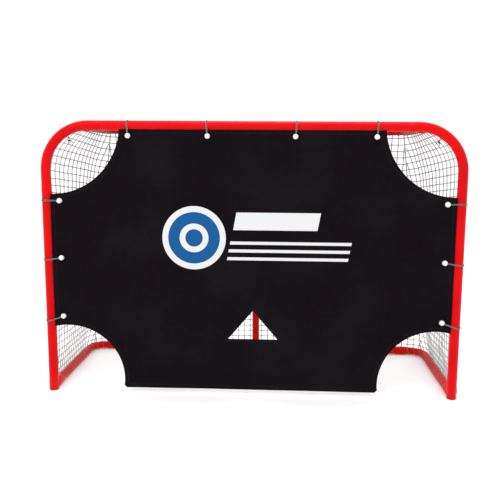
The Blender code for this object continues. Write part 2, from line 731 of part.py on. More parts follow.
# ---- Assembly ----------------------------------------------------------------------------------------
def build():
    clear_scene()
    goal = make_collection(COLLECTION)
    guides = make_collection("guides")
    paint = make_material("red_powder_coat", (0.70, 0.012, 0.018), 0.35)
    black = make_material("black_sheet", (0.012, 0.010, 0.012), 0.75)
    netting = make_material("white_netting", (0.82, 0.82, 0.83), 0.85)
    nylon = make_material("white_nylon", (0.86, 0.85, 0.82), 0.4)
    elastic = make_material("grey_elastic", (0.30, 0.28, 0.27), 0.8)
    nickel = make_material("nickel_plate", (0.60, 0.58, 0.54), 0.3, 1.0)
    zinc = make_material("zinc_plate", (0.55, 0.55, 0.56), 0.35, 1.0)
    spring_steel = make_material("spring_steel", (0.42, 0.43, 0.46), 0.4, 1.0)
    plug = make_material("black_plastic", (0.02, 0.02, 0.02), 0.5)

    sides = ((-1, "left"), (1, "right"))
    for side, word in sides:
        front_post(side, "front_post_" + word, goal, guides, paint)
        base_arm(side, "base_arm_" + word, goal, guides, paint)
        side_net(side, "net_side_panel_" + word, goal, netting)
        pipe("foot_plug_" + word, POST_RADIUS - TUBE_WALL - GAP, 0.0, 0.0, 0.015, (0, 0, 1),
             (side * POST_X, FRONT_Y, 0.0), goal, plug)
        for joint in ("crossbar", "base"):
            snap_button("snap_button_%s_%s" % (joint, word), joint, side, goal, nickel)
            snap_spring("button_spring_%s_%s" % (joint, word), joint, side, goal, spring_steel)
        for joint in ("base", "shelf"):
            screw("screw_%s_%s" % (joint, word), joint, side, goal, zinc)
    crossbar(goal, guides, paint)
    base_back_bar(goal, guides, paint)
    shelf_bar(goal, guides, paint)
    centre_post(goal, guides, paint)
    for joint in ("foot", "head"):
        screw("screw_centre_post_" + joint, joint, 0, goal, zinc)
    back_net(goal, netting)
    top_net(goal, netting)
    target_sheet(goal, black)
    for tie in ties():
        grommet(tie, goal, nickel)
        ball(tie, goal, nylon)
        cord(tie, goal, elastic)


build()
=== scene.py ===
"""Looks for the hockey goal: painted tubes, twine netting, the hung target sheet, ball bungees and hardware.

Everything is in metres in the row frame: the mouth faces -Y, X is the width and Z is up.
"""

import math
import random

import bpy
import numpy as np
from mathutils import Matrix, Vector, noise
from mathutils.bvhtree import BVHTree
from mathutils.geometry import barycentric_transform, delaunay_2d_cdt


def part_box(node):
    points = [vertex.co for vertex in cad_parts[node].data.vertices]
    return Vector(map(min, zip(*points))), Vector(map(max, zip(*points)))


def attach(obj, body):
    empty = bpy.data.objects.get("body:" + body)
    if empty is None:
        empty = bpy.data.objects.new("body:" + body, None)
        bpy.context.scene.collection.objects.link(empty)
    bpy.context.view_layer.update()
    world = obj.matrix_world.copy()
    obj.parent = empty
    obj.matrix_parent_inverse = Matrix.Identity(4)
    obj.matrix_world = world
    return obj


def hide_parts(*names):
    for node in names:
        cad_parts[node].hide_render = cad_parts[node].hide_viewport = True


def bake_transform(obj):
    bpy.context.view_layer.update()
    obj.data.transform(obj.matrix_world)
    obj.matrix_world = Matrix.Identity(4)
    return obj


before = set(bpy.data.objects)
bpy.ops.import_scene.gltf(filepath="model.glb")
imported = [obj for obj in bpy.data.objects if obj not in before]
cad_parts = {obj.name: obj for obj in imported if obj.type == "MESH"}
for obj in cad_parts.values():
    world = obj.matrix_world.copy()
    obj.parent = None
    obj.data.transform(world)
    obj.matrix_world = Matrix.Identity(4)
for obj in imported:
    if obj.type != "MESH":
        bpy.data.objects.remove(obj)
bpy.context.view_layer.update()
SEED = 7


def middle(node):
    low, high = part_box(node)
    return (low + high) / 2


# ---- Dimensions ----
POST_RADIUS = 0.022225
REAR_RADIUS = 0.01905
SLEEVE_RADIUS = 0.022
WALL = 0.0015
GAP = 0.0003
FRONT_BEND = 0.20
BASE_BEND = 0.085
SHELF_BEND = 0.08
SHELF_ARM_X = 0.75
BASE_DEPTH = 0.665
SHELF_DEPTH = 0.43
STUB_LENGTH = 0.09
SLEEVE_LENGTH = 0.055
SLEEVE_NECK = 0.014
JOINT_X = 0.68
SPIGOT = 0.055
TUBE_START = 0.006           # a branch tube starts this far outside the one it is welded to
BUTTON_FROM_JOINT = 0.025    # a snap button's distance from the crossbar's joint
BUTTON_FROM_BEND = 0.034     # and from the end of the base's bend
OUTER_HOLE = 0.0044          # a button hole's radius in a joint's outer tube
INNER_HOLE = 0.0043          # and in its inner tube
DRILL = (0.004, 0.040)       # a hole is drilled between these distances from a tube's axis

POST_X = middle("foot_plug_right").x
FRONT_Y = middle("foot_plug_right").y
BAR_Z = middle("crossbar").z
BASE_Z = SLEEVE_RADIUS
BACK_Y = FRONT_Y + BASE_DEPTH
SHELF_FRONT_Z = BAR_Z - 0.004
SHELF_Y = FRONT_Y + SHELF_DEPTH
SHELF_Z = SHELF_FRONT_Z - 0.006
BASE_BEND_X = POST_X - BASE_BEND
BASE_U = (POST_X, BASE_BEND, BASE_DEPTH, BASE_Z, BASE_Z)      # arm's x, bend, depth, front z, back z
SHELF_U = (SHELF_ARM_X, SHELF_BEND, SHELF_DEPTH, SHELF_FRONT_Z, SHELF_Z)

MESH = 0.033                 # the net's mesh, knot to knot
TWINE = 0.0022               # its twine's radius
ROPE = 0.0026                # the radius of the rope along its edges
EDGE_ROPE = ROPE * 0.9       # and along its lower and upper edges
LACE = 0.0011                # the lacing twine's radius
LACE_START = 0.01            # the lacing starts this far past a sleeve
LACE_GAP = 0.03              # and leaves this much free beside the middle
NET_OFFSET = 0.0243          # from the rear tubes' axes to the net
NET_BEHIND_BAR = 0.0255      # from the crossbar's axis to the top net's front edge

SHEET_Y = middle("target_sheet").y
SHEET_HALF_WIDTH = 0.9150
SHEET_TOP = 1.2245
SHEET_BOTTOM = 0.026
TOP_CUT = (0.9085, 1.251, 0.317)
BOTTOM_CUT = (0.8495, 0.061, 0.261)
SHEET_CORNER = 0.012
HOLE = ((-0.102, 0.270), (0.126, 0.270), (0.012, 0.404))
CLOTH = 0.0009               # thickness of one layer
HEM = 0.022
HOLE_HEM = 0.012             # the hem round the low triangle
SIM_FRAMES = 40
EYE_PULL = 0.0015            # how far the elastic holds an eyelet outwards from the flat pattern

BALL_RADIUS = 0.0116         # a little less than the CAD ball's
STRAND = 0.0016              # the radius of an elastic strand
NECK = 0.0103                # the radius and the distance behind the ball of the strands' ring
SPRING_TOP = 0.0035          # from a joint's inner wall to the spring's upper and lower ends
SPRING_FOOT = 0.0020
SIDE_SHIFTS = {"upper": 0.0, "middle": -0.0125, "lower": -0.027}    # how far a post's wrap lies below
TOP_SHIFT = 0.005                                                   # and the crossbar's, outwards
SPRING_STRIP = ((0.00035, -0.0027), (0.00035, 0.0027), (0.0002, 0.003), (-0.0002, 0.003),
                (-0.00035, 0.0027), (-0.00035, -0.0027), (-0.0002, -0.003), (0.0002, -0.003))
GROMMET_BORE = 0.0055
GROMMET_LIP = 0.0105

LENS = 47.6
CAMERA_X, CAMERA_BACK, CAMERA_Z = 0.142, 2.979, 1.142         # its y is measured from the mouth
YAW, PITCH, ROLL = 2.804, 8.705, 0.36

SIDES = ((-1, "left"), (1, "right"))


# ---- Node materials ----
class Finish:
    """A Principled material with helpers for procedural detail in row coordinates."""

    def __init__(self, name, colour, roughness, **sockets):
        self.material = bpy.data.materials.new(name)
        self.material.use_nodes = True
        self.nodes = self.material.node_tree.nodes
        self.links = self.material.node_tree.links
        self.shader = self.nodes["Principled BSDF"]
        self.shader.inputs["Base Color"].default_value = (*colour, 1.0)
        self.shader.inputs["Roughness"].default_value = roughness
        for socket, value in sockets.items():
            self.shader.inputs[socket.replace("_", " ")].default_value = value
        self.place = self.nodes.new("ShaderNodeTexCoord")

    def feed(self, socket, source):
        if isinstance(source, (int, float, tuple)):
            socket.default_value = source
        else:
            self.links.new(source, socket)

    def coordinates(self, scale=(1.0, 1.0, 1.0), kind="Object"):
        mapping = self.nodes.new("ShaderNodeMapping")
        mapping.inputs["Scale"].default_value = scale
        self.links.new(self.place.outputs[kind], mapping.inputs["Vector"])
        return mapping.outputs["Vector"]

    def noise(self, scale, detail=3.0, stretch=(1.0, 1.0, 1.0), kind="Object"):
        node = self.nodes.new("ShaderNodeTexNoise")
        node.inputs["Scale"].default_value = scale
        node.inputs["Detail"].default_value = detail
        self.links.new(self.coordinates(stretch, kind), node.inputs["Vector"])
        return node.outputs["Fac"]

    def wave(self, scale, direction, kind="Object", distortion=0.0):
        node = self.nodes.new("ShaderNodeTexWave")
        node.bands_direction = direction
        node.inputs["Scale"].default_value = scale
        node.inputs["Distortion"].default_value = distortion
        self.links.new(self.coordinates(kind=kind), node.inputs["Vector"])
        return node.outputs["Fac"]

    def ramp(self, value, low, high, start=0.0, end=1.0):
        node = self.nodes.new("ShaderNodeMapRange")
        node.interpolation_type = "SMOOTHSTEP"
        self.feed(node.inputs["Value"], value)
        for socket, number in (("From Min", low), ("From Max", high), ("To Min", start), ("To Max", end)):
            node.inputs[socket].default_value = number
        return node.outputs["Result"]

    def math(self, operation, first, second=0.0):
        node = self.nodes.new("ShaderNodeMath")
        node.operation = operation
        self.feed(node.inputs[0], first)
        self.feed(node.inputs[1], second)
        return node.outputs["Value"]

    def mix(self, share, first, second):
        node = self.nodes.new("ShaderNodeMix")
        node.data_type = "RGBA"
        self.feed(node.inputs[0], share)
        for socket, source in ((node.inputs[6], first), (node.inputs[7], second)):
            self.feed(socket, (*source, 1.0) if isinstance(source, tuple) else source)
        return node.outputs[2]

    def height(self):
        """The row's Z at the shaded point."""
        node = self.nodes.new("ShaderNodeSeparateXYZ")
        self.links.new(self.place.outputs["Object"], node.inputs["Vector"])
        return node.outputs["Z"]

    def bump_of(self, scale):
        """A fine fibrous surface."""
        return self.bump(self.noise(scale, 2.0), 0.0003, 0.7)

    def colour(self, source):
        self.links.new(source, self.shader.inputs["Base Color"])
        return self

    def rough(self, source):
        self.links.new(source, self.shader.inputs["Roughness"])
        return self

    def bump(self, source, distance, strength=1.0):
        node = self.nodes.new("ShaderNodeBump")
        node.inputs["Strength"].default_value = strength
        node.inputs["Distance"].default_value = distance
        self.links.new(source, node.inputs["Height"])
        self.links.new(node.outputs["Normal"], self.shader.inputs["Normal"])
        return self


def powder_coat():
    """Gloss red powder coat with orange peel, and painted shade: dark brown patches on the tubes near the
    floor.
    """
    red, deep = (0.66, 0.0032, 0.0052), (0.57, 0.0026, 0.0042)
    finish = Finish("red_powder_coat", red, 0.38, Specular_IOR_Level=0.18,
                    Specular_Tint=(1.0, 0.27, 0.24, 1.0))
    coat = finish.mix(finish.ramp(finish.noise(5.0), 0.35, 0.7), red, deep)
    patch_noise = finish.ramp(finish.noise(160.0, 4.0, (1.0, 1.0, 0.3)), 0.60, 0.68)
    low = finish.ramp(finish.height(), 0.09, 0.0)
    painted_low_shade = finish.math("MULTIPLY", patch_noise, low)
    # Painted shade: dark brown patches that grow stronger towards the floor, on the base tubes and the posts'
    # feet.
    finish.colour(finish.mix(painted_low_shade, coat, (0.30, 0.045, 0.045)))
    finish.rough(finish.ramp(finish.noise(40.0), 0.3, 0.7, 0.33, 0.43))
    return finish.bump(finish.noise(650.0, 2.0), 0.00012, 0.5).material


def netting(name, clean, grimy):
    """Braided polyester twine, a little soiled in places."""
    finish = Finish(name, clean, 0.85, Specular_IOR_Level=0.15)
    grime = finish.ramp(finish.noise(9.0, 4.0), 0.45, 0.75)
    finish.colour(finish.mix(grime, clean, grimy))
    return finish.bump_of(1300.0).material


def rope_finish():
    """Laid rope: diagonal strands from the piece's own length and round coordinates."""
    finish = Finish("white_rope", (0.78, 0.78, 0.77), 0.85, Specular_IOR_Level=0.2)
    lay = finish.wave(40.0, "DIAGONAL", "UV")
    # Painted shade: the white rope is drawn in greys, darkest in the grooves between its strands where the
    # bump is lowest.
    finish.colour(finish.mix(lay, (0.36, 0.36, 0.355), (0.56, 0.56, 0.55)))
    return finish.bump(lay, 0.0005, 0.8).material


def sheet_finish():
    """Black coated cloth: a fine woven scrim under a matt coat, with faint dust."""
    finish = Finish("black_sheet", (0.004, 0.003, 0.004), 0.72, Specular_IOR_Level=0.06)
    warp = finish.wave(330.0, "X")
    weft = finish.wave(330.0, "Z")
    weave = finish.math("MULTIPLY", warp, weft)
    dust = finish.ramp(finish.noise(3.5, 5.0), 0.42, 0.72)
    finish.colour(finish.mix(dust, (0.0040, 0.0018, 0.0036), (0.0066, 0.0042, 0.0062)))
    finish.rough(finish.ramp(finish.noise(60.0, 4.0), 0.3, 0.7, 0.65, 0.80))
    return finish.bump(weave, 0.0002, 0.6).material


def ink(name, colour):
    """Screen print on the sheet: the weave shows through and the ink is slightly uneven."""
    finish = Finish(name, colour, 0.5, Specular_IOR_Level=0.12)
    thin = finish.ramp(finish.noise(220.0, 3.0), 0.62, 0.80)
    finish.colour(finish.mix(thin, colour, tuple(c * 0.86 for c in colour)))
    weave = finish.math("MULTIPLY", finish.wave(330.0, "X"), finish.wave(330.0, "Z"))
    return finish.bump(weave, 0.00015, 0.5).material


def nylon():
    """Moulded off-white nylon with faint flow marks."""
    finish = Finish("white_nylon", (0.86, 0.85, 0.82), 0.32, Specular_IOR_Level=0.5, Subsurface_Weight=0.06,
                    Subsurface_Scale=0.002)
    marks = finish.ramp(finish.noise(140.0, 3.0, (1.0, 1.0, 0.4)), 0.4, 0.75)
    finish.colour(finish.mix(marks, (0.87, 0.86, 0.83), (0.80, 0.79, 0.75)))
    return finish.bump(finish.noise(500.0, 2.0), 0.00006, 0.5).material


def elastic():
    """Braided sheath of a shock cord: two thread directions crossing."""
    finish = Finish("grey_elastic", (0.36, 0.35, 0.33), 0.85, Specular_IOR_Level=0.25)
    braid = finish.math("MULTIPLY", finish.wave(26.0, "DIAGONAL", "UV"), finish.wave(26.0, "X", "UV"))
    finish.colour(finish.mix(finish.ramp(braid, 0.1, 0.7), (0.10, 0.10, 0.095), (0.30, 0.29, 0.27)))
    return finish.bump(braid, 0.0003, 0.7).material


def metal(name, colour, roughness, grain):
    """Plated or bare steel with fine tool marks."""
    finish = Finish(name, colour, roughness, Metallic=1.0)
    marks = finish.noise(grain, 4.0, (1.0, 1.0, 0.2))
    finish.rough(finish.ramp(marks, 0.3, 0.7, roughness * 0.8, roughness * 1.4))
    patches = finish.ramp(finish.noise(90.0), 0.35, 0.7)
    finish.colour(finish.mix(patches, colour, tuple(c * 0.82 for c in colour)))
    return finish.bump(marks, 0.00005, 0.5).material


def floor_finish():
    """A pale studio floor, lifted a little so that only soft contact shadows stay."""
    finish = Finish("floor", (0.93, 0.93, 0.93), 0.9, Specular_IOR_Level=0.1)
    finish.shader.inputs["Emission Color"].default_value = (1.0, 1.0, 1.0, 1.0)
    finish.shader.inputs["Emission Strength"].default_value = 0.10
    return finish.bump(finish.noise(30.0), 0.0002, 0.2).material


def moulded_black():
    finish = Finish("black_plastic", (0.018, 0.018, 0.019), 0.5)
    finish.rough(finish.ramp(finish.noise(300.0), 0.3, 0.7, 0.42, 0.62))
    return finish.bump(finish.noise(900.0, 2.0), 0.0001, 0.6).material


PAINT = powder_coat()
# Painted shade: the white twine is given a mid grey of 0.50, and 0.39 where soiled, darker than its own
# colour.
NET = netting("white_netting", (0.50, 0.50, 0.50), (0.39, 0.39, 0.385))
ROPE_WHITE = rope_finish()
BLACK = sheet_finish()
WHITE_INK = ink("print_white", (0.66, 0.665, 0.67))
BLUE_INK = ink("print_blue", (0.003, 0.082, 0.250))
THREAD = Finish("hem_thread", (0.020, 0.018, 0.021), 0.8).bump_of(1500.0).material
NYLON = nylon()
ELASTIC = elastic()
NICKEL = metal("nickel_plate", (0.62, 0.60, 0.55), 0.22, 500.0)
ZINC = metal("zinc_plate", (0.56, 0.57, 0.58), 0.34, 700.0)
SPRING = metal("spring_steel", (0.40, 0.41, 0.44), 0.40, 600.0)
PLUG = moulded_black()
TIE = Finish("tie_cord", (0.012, 0.028, 0.020), 0.8).bump_of(1100.0).material
LACING = netting("lacing_twine", (0.26, 0.24, 0.20), (0.16, 0.15, 0.125))


# ---- Mesh building ----
def linked(name, data):
    """A new object of a mesh, light or camera, in the scene."""
    obj = bpy.data.objects.new(name, data)
    bpy.context.scene.collection.objects.link(obj)
    return obj


def unit(vectors):
    return vectors / np.linalg.norm(vectors, axis=-1, keepdims=True)


def path_frames(points, cyclic=False):
    """Two unit vectors across a path at each point, carried along without twist."""
    ahead = np.roll(points, -1, 0)
    behind = np.roll(points, 1, 0)
    tangents = unit(ahead - behind if cyclic else np.gradient(points, axis=0))
    start = np.cross(tangents[0], (0.0, 0.0, 1.0) if abs(tangents[0][2]) < 0.9 else (1.0, 0.0, 0.0))
    across = [unit(start)]
    for tangent in tangents[1:]:
        carried = across[-1] - tangent * across[-1].dot(tangent)
        across.append(unit(carried))
    across = np.array(across)
    if cyclic:
        closing = unit(across[-1] - tangents[0] * across[-1].dot(tangents[0]))
        twist = math.atan2(np.cross(closing, across[0]).dot(tangents[0]), closing.dot(across[0]))
        turn = np.linspace(0.0, twist, len(points))[:, None]
        across = across * np.cos(turn) + np.cross(tangents, across) * np.sin(turn)
    return across, np.cross(tangents, across)


class Builder:
    """Collects grids of rings into one mesh; u runs round a ring and v along it in centimetres."""

    def __init__(self):
        self.points = []
        self.faces = []
        self.uvs = []
        self.count = 0

    def rings(self, rings, closed=False, caps=False):
        rings = np.asarray(rings, float)
        rows, sides = rings.shape[:2]
        steps = np.linalg.norm(np.diff(rings.mean(axis=1), axis=0), axis=1)
        along = np.concatenate(([0.0], np.cumsum(steps))) * 100.0
        base = self.count
        self.points.append(rings.reshape(-1, 3))
        self.count += rows * sides
        for i in range(rows if closed else rows - 1):
            j = (i + 1) % rows
            low, high = along[i], along[j] if j else along[i] + 0.1
            for k in range(sides):
                m = (k + 1) % sides
                self.faces.append((base + i * sides + k, base + i * sides + m,
                                   base + j * sides + m, base + j * sides + k))
                u, w = k / sides, (k + 1) / sides
                self.uvs += [(u, low), (w, low), (w, high), (u, high)]
        if caps:
            first = [base + k for k in range(sides)][::-1]
            last = [base + (rows - 1) * sides + k for k in range(sides)]
            self.faces += [tuple(first), tuple(last)]
            self.uvs += [(0.5, 0.0)] * (2 * sides)

    def rod(self, points, radius, sides=8, cyclic=False, caps=True):
        """A round bar along a path; the radius is one number or one for each point."""
        points = np.array([tuple(p) for p in points], float)
        across, up = path_frames(points, cyclic)
        angle = 2 * math.pi * np.arange(sides) / sides
        ring = across[:, None] * np.cos(angle)[:, None] + up[:, None] * np.sin(angle)[:, None]
        radius = np.broadcast_to(np.asarray(radius, float), len(points))
        self.rings(points[:, None] + ring * radius[:, None, None], closed=cyclic, caps=caps and not cyclic)

    def tube(self, points, outer, wall=WALL, sides=48, lip=0.0004):
        """A hollow bar with eased rims."""
        points = np.array([tuple(p) for p in points], float)
        across, up = path_frames(points)
        angle = 2 * math.pi * np.arange(sides) / sides
        ring = across[:, None] * np.cos(angle)[:, None] + up[:, None] * np.sin(angle)[:, None]
        start = unit(points[1] - points[0]) * lip
        end = unit(points[-1] - points[-2]) * lip
        skin = points[:, None] + ring * outer
        lining = points[:, None] + ring * (outer - wall)
        eased = points[:, None] + ring * (outer - lip)
        skin[0] += start
        skin[-1] -= end
        rings = [eased[0], *skin, eased[-1], *lining[::-1]]
        self.rings(rings, closed=True)

    def lathe(self, profile, direction, origin, sides=32, closed=False):
        """A (radius, height) profile turned about a direction; radius 0 closes it on the axis."""
        place = Matrix.Translation(origin) @ Vector(direction).to_track_quat("Z", "Y").to_matrix().to_4x4()
        rings = []
        for radius, height in profile:
            radius = max(radius, 1e-5)
            rings.append([place @ Vector((radius * math.cos(2 * math.pi * k / sides),
                                          radius * math.sin(2 * math.pi * k / sides), height))
                          for k in range(sides)])
        self.rings(rings, closed=closed, caps=not closed)

    def painted(self, name, *nodes):
        """A piece of the red tube frame that stands for these CAD nodes."""
        return self.piece(name, PAINT, replaces=nodes)

    def piece(self, name, material, body="frame", replaces=(), smooth=45.0):
        mesh = bpy.data.meshes.new(name)
        mesh.from_pydata(np.concatenate(self.points).tolist(), [], self.faces)
        layer = mesh.uv_layers.new(name="UVMap")
        layer.data.foreach_set("uv", np.array(self.uvs, np.float32).ravel())
        return finished(name, mesh, material, body, replaces, smooth)


def finished(name, mesh, material, body="frame", replaces=(), smooth=45.0):
    """An object of a mesh that faces outwards, rides on a body and stands for CAD nodes."""
    mesh.validate()
    mesh.materials.append(material)
    mesh.shade_smooth()
    mesh.set_sharp_from_angle(angle=math.radians(smooth))
    obj = linked(name, mesh)
    face_out(obj)
    if body:
        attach(obj, body)
    if replaces:
        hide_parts(*replaces)
    return obj


def face_out(obj):
    import bmesh
    work = bmesh.new()
    work.from_mesh(obj.data)
    bmesh.ops.recalc_face_normals(work, faces=work.faces)
    work.to_mesh(obj.data)
    work.free()


def arc(centre, start, towards, radius, steps, quarter=1.0):
    """Points on a round bend, from the unit vector start towards another."""
    a, b = Vector(start), Vector(towards)
    angles = [math.pi / 2 * quarter * i / steps for i in range(steps + 1)]
    return [Vector(centre) + radius * (a * math.cos(t) + b * math.sin(t)) for t in angles]


def divided(start, end, steps):
    """Points on a line, without its last one."""
    return [start.lerp(end, i / steps) for i in range(steps)]


def cut_holes(obj, places, radius):
    """Drill round holes from tube axes outwards."""
    drill = Builder()
    for origin, direction in places:
        drill.lathe([(radius, reach) for reach in DRILL], direction, origin, sides=28)
    cutter = drill.piece("drill_" + obj.name, PLUG, body=None)
    modifier = obj.modifiers.new("holes", "BOOLEAN")
    modifier.operation = "DIFFERENCE"
    modifier.solver = "EXACT"
    modifier.object = cutter
    bpy.context.view_layer.update()
    mesh = bpy.data.meshes.new_from_object(obj.evaluated_get(bpy.context.evaluated_depsgraph_get()))
    obj.modifiers.clear()
    obj.data = mesh
    mesh.set_sharp_from_angle(angle=math.radians(45.0))
    bpy.data.objects.remove(cutter)


# ---- Tube frame ----
def post_bend(side):
    """The centre of a post's top bend."""
    return Vector((side * (POST_X - FRONT_BEND), FRONT_Y, BAR_Z - FRONT_BEND))


def shelf_direction():
    return Vector((0.0, SHELF_DEPTH, SHELF_Z - SHELF_FRONT_Z)).normalized()


def shelf_front(side):
    return Vector((side * SHELF_ARM_X, FRONT_Y, SHELF_FRONT_Z))


def base_bend(side, steps):
    return arc((side * BASE_BEND_X, BACK_Y - BASE_BEND, BASE_Z), (side, 0, 0), (0, 1, 0), BASE_BEND, steps)


def shelf_bend(side, steps):
    run = shelf_direction()
    centre = shelf_front(side) + run * (SHELF_DEPTH - SHELF_BEND) - Vector((side * SHELF_BEND, 0, 0))
    return arc(centre, (side, 0, 0), run, SHELF_BEND, steps)


def saddle_bead(build, origin, direction, main_axis, radius, main_radius, offset=0.0):
    """A rippled weld where a branch meets a main tube."""
    run = Vector(direction).normalized()
    side = Vector(main_axis).normalized()
    other = run.cross(side).normalized()
    points = []
    radii = []
    count = 96
    for i in range(count):
        angle = 2 * math.pi * i / count
        along, across = radius * math.cos(angle), radius * math.sin(angle)
        reach = math.sqrt(max(main_radius ** 2 - (across + offset) ** 2, 0.003 ** 2))
        thickness = 0.0024 + 0.0005 * math.sin(angle * 24) + 0.0002 * math.sin(angle * 7)
        point = Vector(origin) + side * along + other * across + run * reach
        point.z = max(point.z, thickness)      # the bead under a foot sleeve stays above the floor
        points.append(point)
        radii.append(thickness)
    build.rod(points, radii, sides=10, cyclic=True)


def button_place(joint, side):
    if joint == "crossbar":
        return Vector((side * (JOINT_X + BUTTON_FROM_JOINT), FRONT_Y, BAR_Z)), Vector((0, 1, 0))
    return Vector((side * (BASE_BEND_X - BUTTON_FROM_BEND), BACK_Y, BASE_Z)), Vector((0, 0, 1))


def post(side, word):
    build = Builder()
    foot = Vector((side * POST_X, FRONT_Y, 0.0))
    path = divided(foot, Vector((side * POST_X, FRONT_Y, BAR_Z - FRONT_BEND)), 12)
    path += arc(post_bend(side), (side, 0, 0), (0, 0, 1), FRONT_BEND, 40)
    path.append(Vector((side * JOINT_X, FRONT_Y, BAR_Z)))
    build.tube(path, POST_RADIUS)
    obj = build.painted("post_tube_" + word, "front_post_" + word)
    cut_holes(obj, [button_place("crossbar", side)], OUTER_HOLE)
    build = Builder()
    low = Vector((side * POST_X, FRONT_Y, BASE_Z))
    high = shelf_front(side)
    run = shelf_direction()
    for origin, direction in ((low, Vector((0, 1, 0))), (high, run)):
        build.tube([origin + direction * d for d in (0.005, 0.03, 0.06, STUB_LENGTH)], SLEEVE_RADIUS,
                   SLEEVE_RADIUS - REAR_RADIUS - GAP)
    saddle_bead(build, low, (0, 1, 0), (0, 0, 1), SLEEVE_RADIUS, POST_RADIUS)
    saddle_bead(build, high, run, (1, 0, 0), SLEEVE_RADIUS, POST_RADIUS, SHELF_FRONT_Z - BAR_Z)
    build.painted("post_sleeves_" + word)


def crossbar():
    build = Builder()
    shoulder = JOINT_X - GAP
    build.tube(divided(Vector((-shoulder, FRONT_Y, BAR_Z)), Vector((shoulder, FRONT_Y, BAR_Z)), 24)
               + [Vector((shoulder, FRONT_Y, BAR_Z))], POST_RADIUS)
    build.painted("crossbar_tube", "crossbar")
    for side, word in SIDES:
        build = Builder()
        spigot = [Vector((side * x, FRONT_Y, BAR_Z)) for x in (shoulder - 0.03, shoulder, shoulder + SPIGOT)]
        build.tube(spigot, POST_RADIUS - WALL - GAP)
        obj = build.painted("crossbar_spigot_" + word)
        cut_holes(obj, [button_place("crossbar", side)], INNER_HOLE)


def joint_sleeve(side, word, bore_x):
    """A thicker sleeve that opens towards -X, with its tapered neck gripping the tube behind it."""
    build = Builder()
    profile = [(SLEEVE_RADIUS - 0.0004, SLEEVE_LENGTH - GAP), (SLEEVE_RADIUS, SLEEVE_LENGTH - GAP - 0.0005),
               (SLEEVE_RADIUS, 0.007 - SLEEVE_NECK), (SLEEVE_RADIUS - 0.0006, 0.004 - SLEEVE_NECK),
               (REAR_RADIUS + 0.0003, -SLEEVE_NECK), (REAR_RADIUS - 0.0004, -SLEEVE_NECK),
               (REAR_RADIUS - 0.0004, -0.002), (REAR_RADIUS + GAP, 0.0),
               (REAR_RADIUS + GAP, SLEEVE_LENGTH - GAP)]
    build.lathe(profile, (-1, 0, 0), (bore_x, BACK_Y, BASE_Z), sides=48, closed=True)
    obj = build.painted("joint_sleeve_" + word)
    cut_holes(obj, [button_place("base", side)], OUTER_HOLE)


def base_arm(side, word):
    build = Builder()
    start = Vector((side * POST_X, FRONT_Y + POST_RADIUS + TUBE_START, BASE_Z))
    corner = Vector((side * POST_X, BACK_Y - BASE_BEND, BASE_Z))
    end_x = BASE_BEND_X - (SLEEVE_LENGTH if side < 0 else SLEEVE_NECK) + 2 * GAP
    path = divided(start, corner, 10)
    path += base_bend(side, 24)
    path.append(Vector((side * end_x, BACK_Y, BASE_Z)))
    build.tube(path, REAR_RADIUS)
    obj = build.painted("base_tube_" + word, "base_arm_" + word)
    if side < 0:
        cut_holes(obj, [button_place("base", side)], INNER_HOLE)


def centre_line():
    return Vector((0.0, BACK_Y, BASE_Z)), Vector((0.0, SHELF_Y, SHELF_Z))


def back_bar():
    build = Builder()
    left = Vector((SLEEVE_LENGTH - BASE_BEND_X + 2 * GAP, BACK_Y, BASE_Z))
    right = Vector((BASE_BEND_X - SLEEVE_NECK - 2 * GAP, BACK_Y, BASE_Z))
    build.tube(divided(left, right, 24) + [right], REAR_RADIUS)
    obj = build.painted("back_tube", "base_back_bar")
    cut_holes(obj, [button_place("base", 1)], INNER_HOLE)
    joint_sleeve(-1, "left", SLEEVE_LENGTH - BASE_BEND_X)
    joint_sleeve(1, "right", BASE_BEND_X - SLEEVE_NECK)


def shelf():
    build = Builder()
    run = shelf_direction()
    path = []
    for side, _ in SIDES:
        front = shelf_front(side)
        half = divided(front + run * (POST_RADIUS + TUBE_START), front + run * (SHELF_DEPTH - SHELF_BEND), 8)
        half += shelf_bend(side, 24)
        path += half if side < 0 else half[::-1]
    build.tube(path, REAR_RADIUS)
    build.painted("shelf_tube", "shelf_bar")


def centre_tube():
    build = Builder()
    foot, head = centre_line()
    run = (head - foot).normalized()
    start, end = foot + run * TUBE_START, head - run * TUBE_START
    build.tube(divided(start, end, 16) + [end], REAR_RADIUS)
    build.painted("centre_tube", "centre_post")


# ---- Hardware ----
def hex_screw(name, node):
    """A washer-head self-tapping screw, placed where its CAD solid is."""
    low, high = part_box(node)
    place = (low + high) / 2
    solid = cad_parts[node]
    spread = np.array([tuple(v.co) for v in solid.data.vertices])
    values, vectors = np.linalg.eigh(np.cov((spread - spread.mean(0)).T))
    facing = Vector(vectors[:, 2]) if values[2] - values[1] > values[1] - values[0] else Vector(vectors[:, 0])
    outward = Vector((0, 0.25, 1.0)) if node.startswith(("screw_base", "screw_shelf")) else Vector((0, 1, 0))
    if facing.dot(outward) < 0:
        facing.negate()
    top = max((Vector(p) - place).dot(facing) for p in spread)
    origin = place + facing * top
    build = Builder()
    build.lathe([(0.0022, -0.012), (0.003, -0.0095), (0.003, -0.0040), (0.0055, -0.0036), (0.0055, -0.0029),
                 (0.0048, -0.0024)], facing, origin, sides=32)
    place = Matrix.Translation(origin) @ facing.to_track_quat("Z", "Y").to_matrix().to_4x4()
    rings = []
    for radius, height in ((0.0046, -0.0030), (0.0046, -0.0006), (0.0041, -0.0001), (0.0022, 0.0),
                           (0.0019, -0.0008)):
        rings.append([place @ Vector((radius * math.cos(t), radius * math.sin(t), height))
                      for t in (math.pi / 3 * k for k in range(6))])
    build.rings(rings, caps=True)
    build.piece(name, ZINC, replaces=[node], smooth=30.0)


def inner_bore(joint):
    """The inner radius of a joint's inner tube."""
    return POST_RADIUS - 2 * WALL - GAP if joint == "crossbar" else REAR_RADIUS - WALL


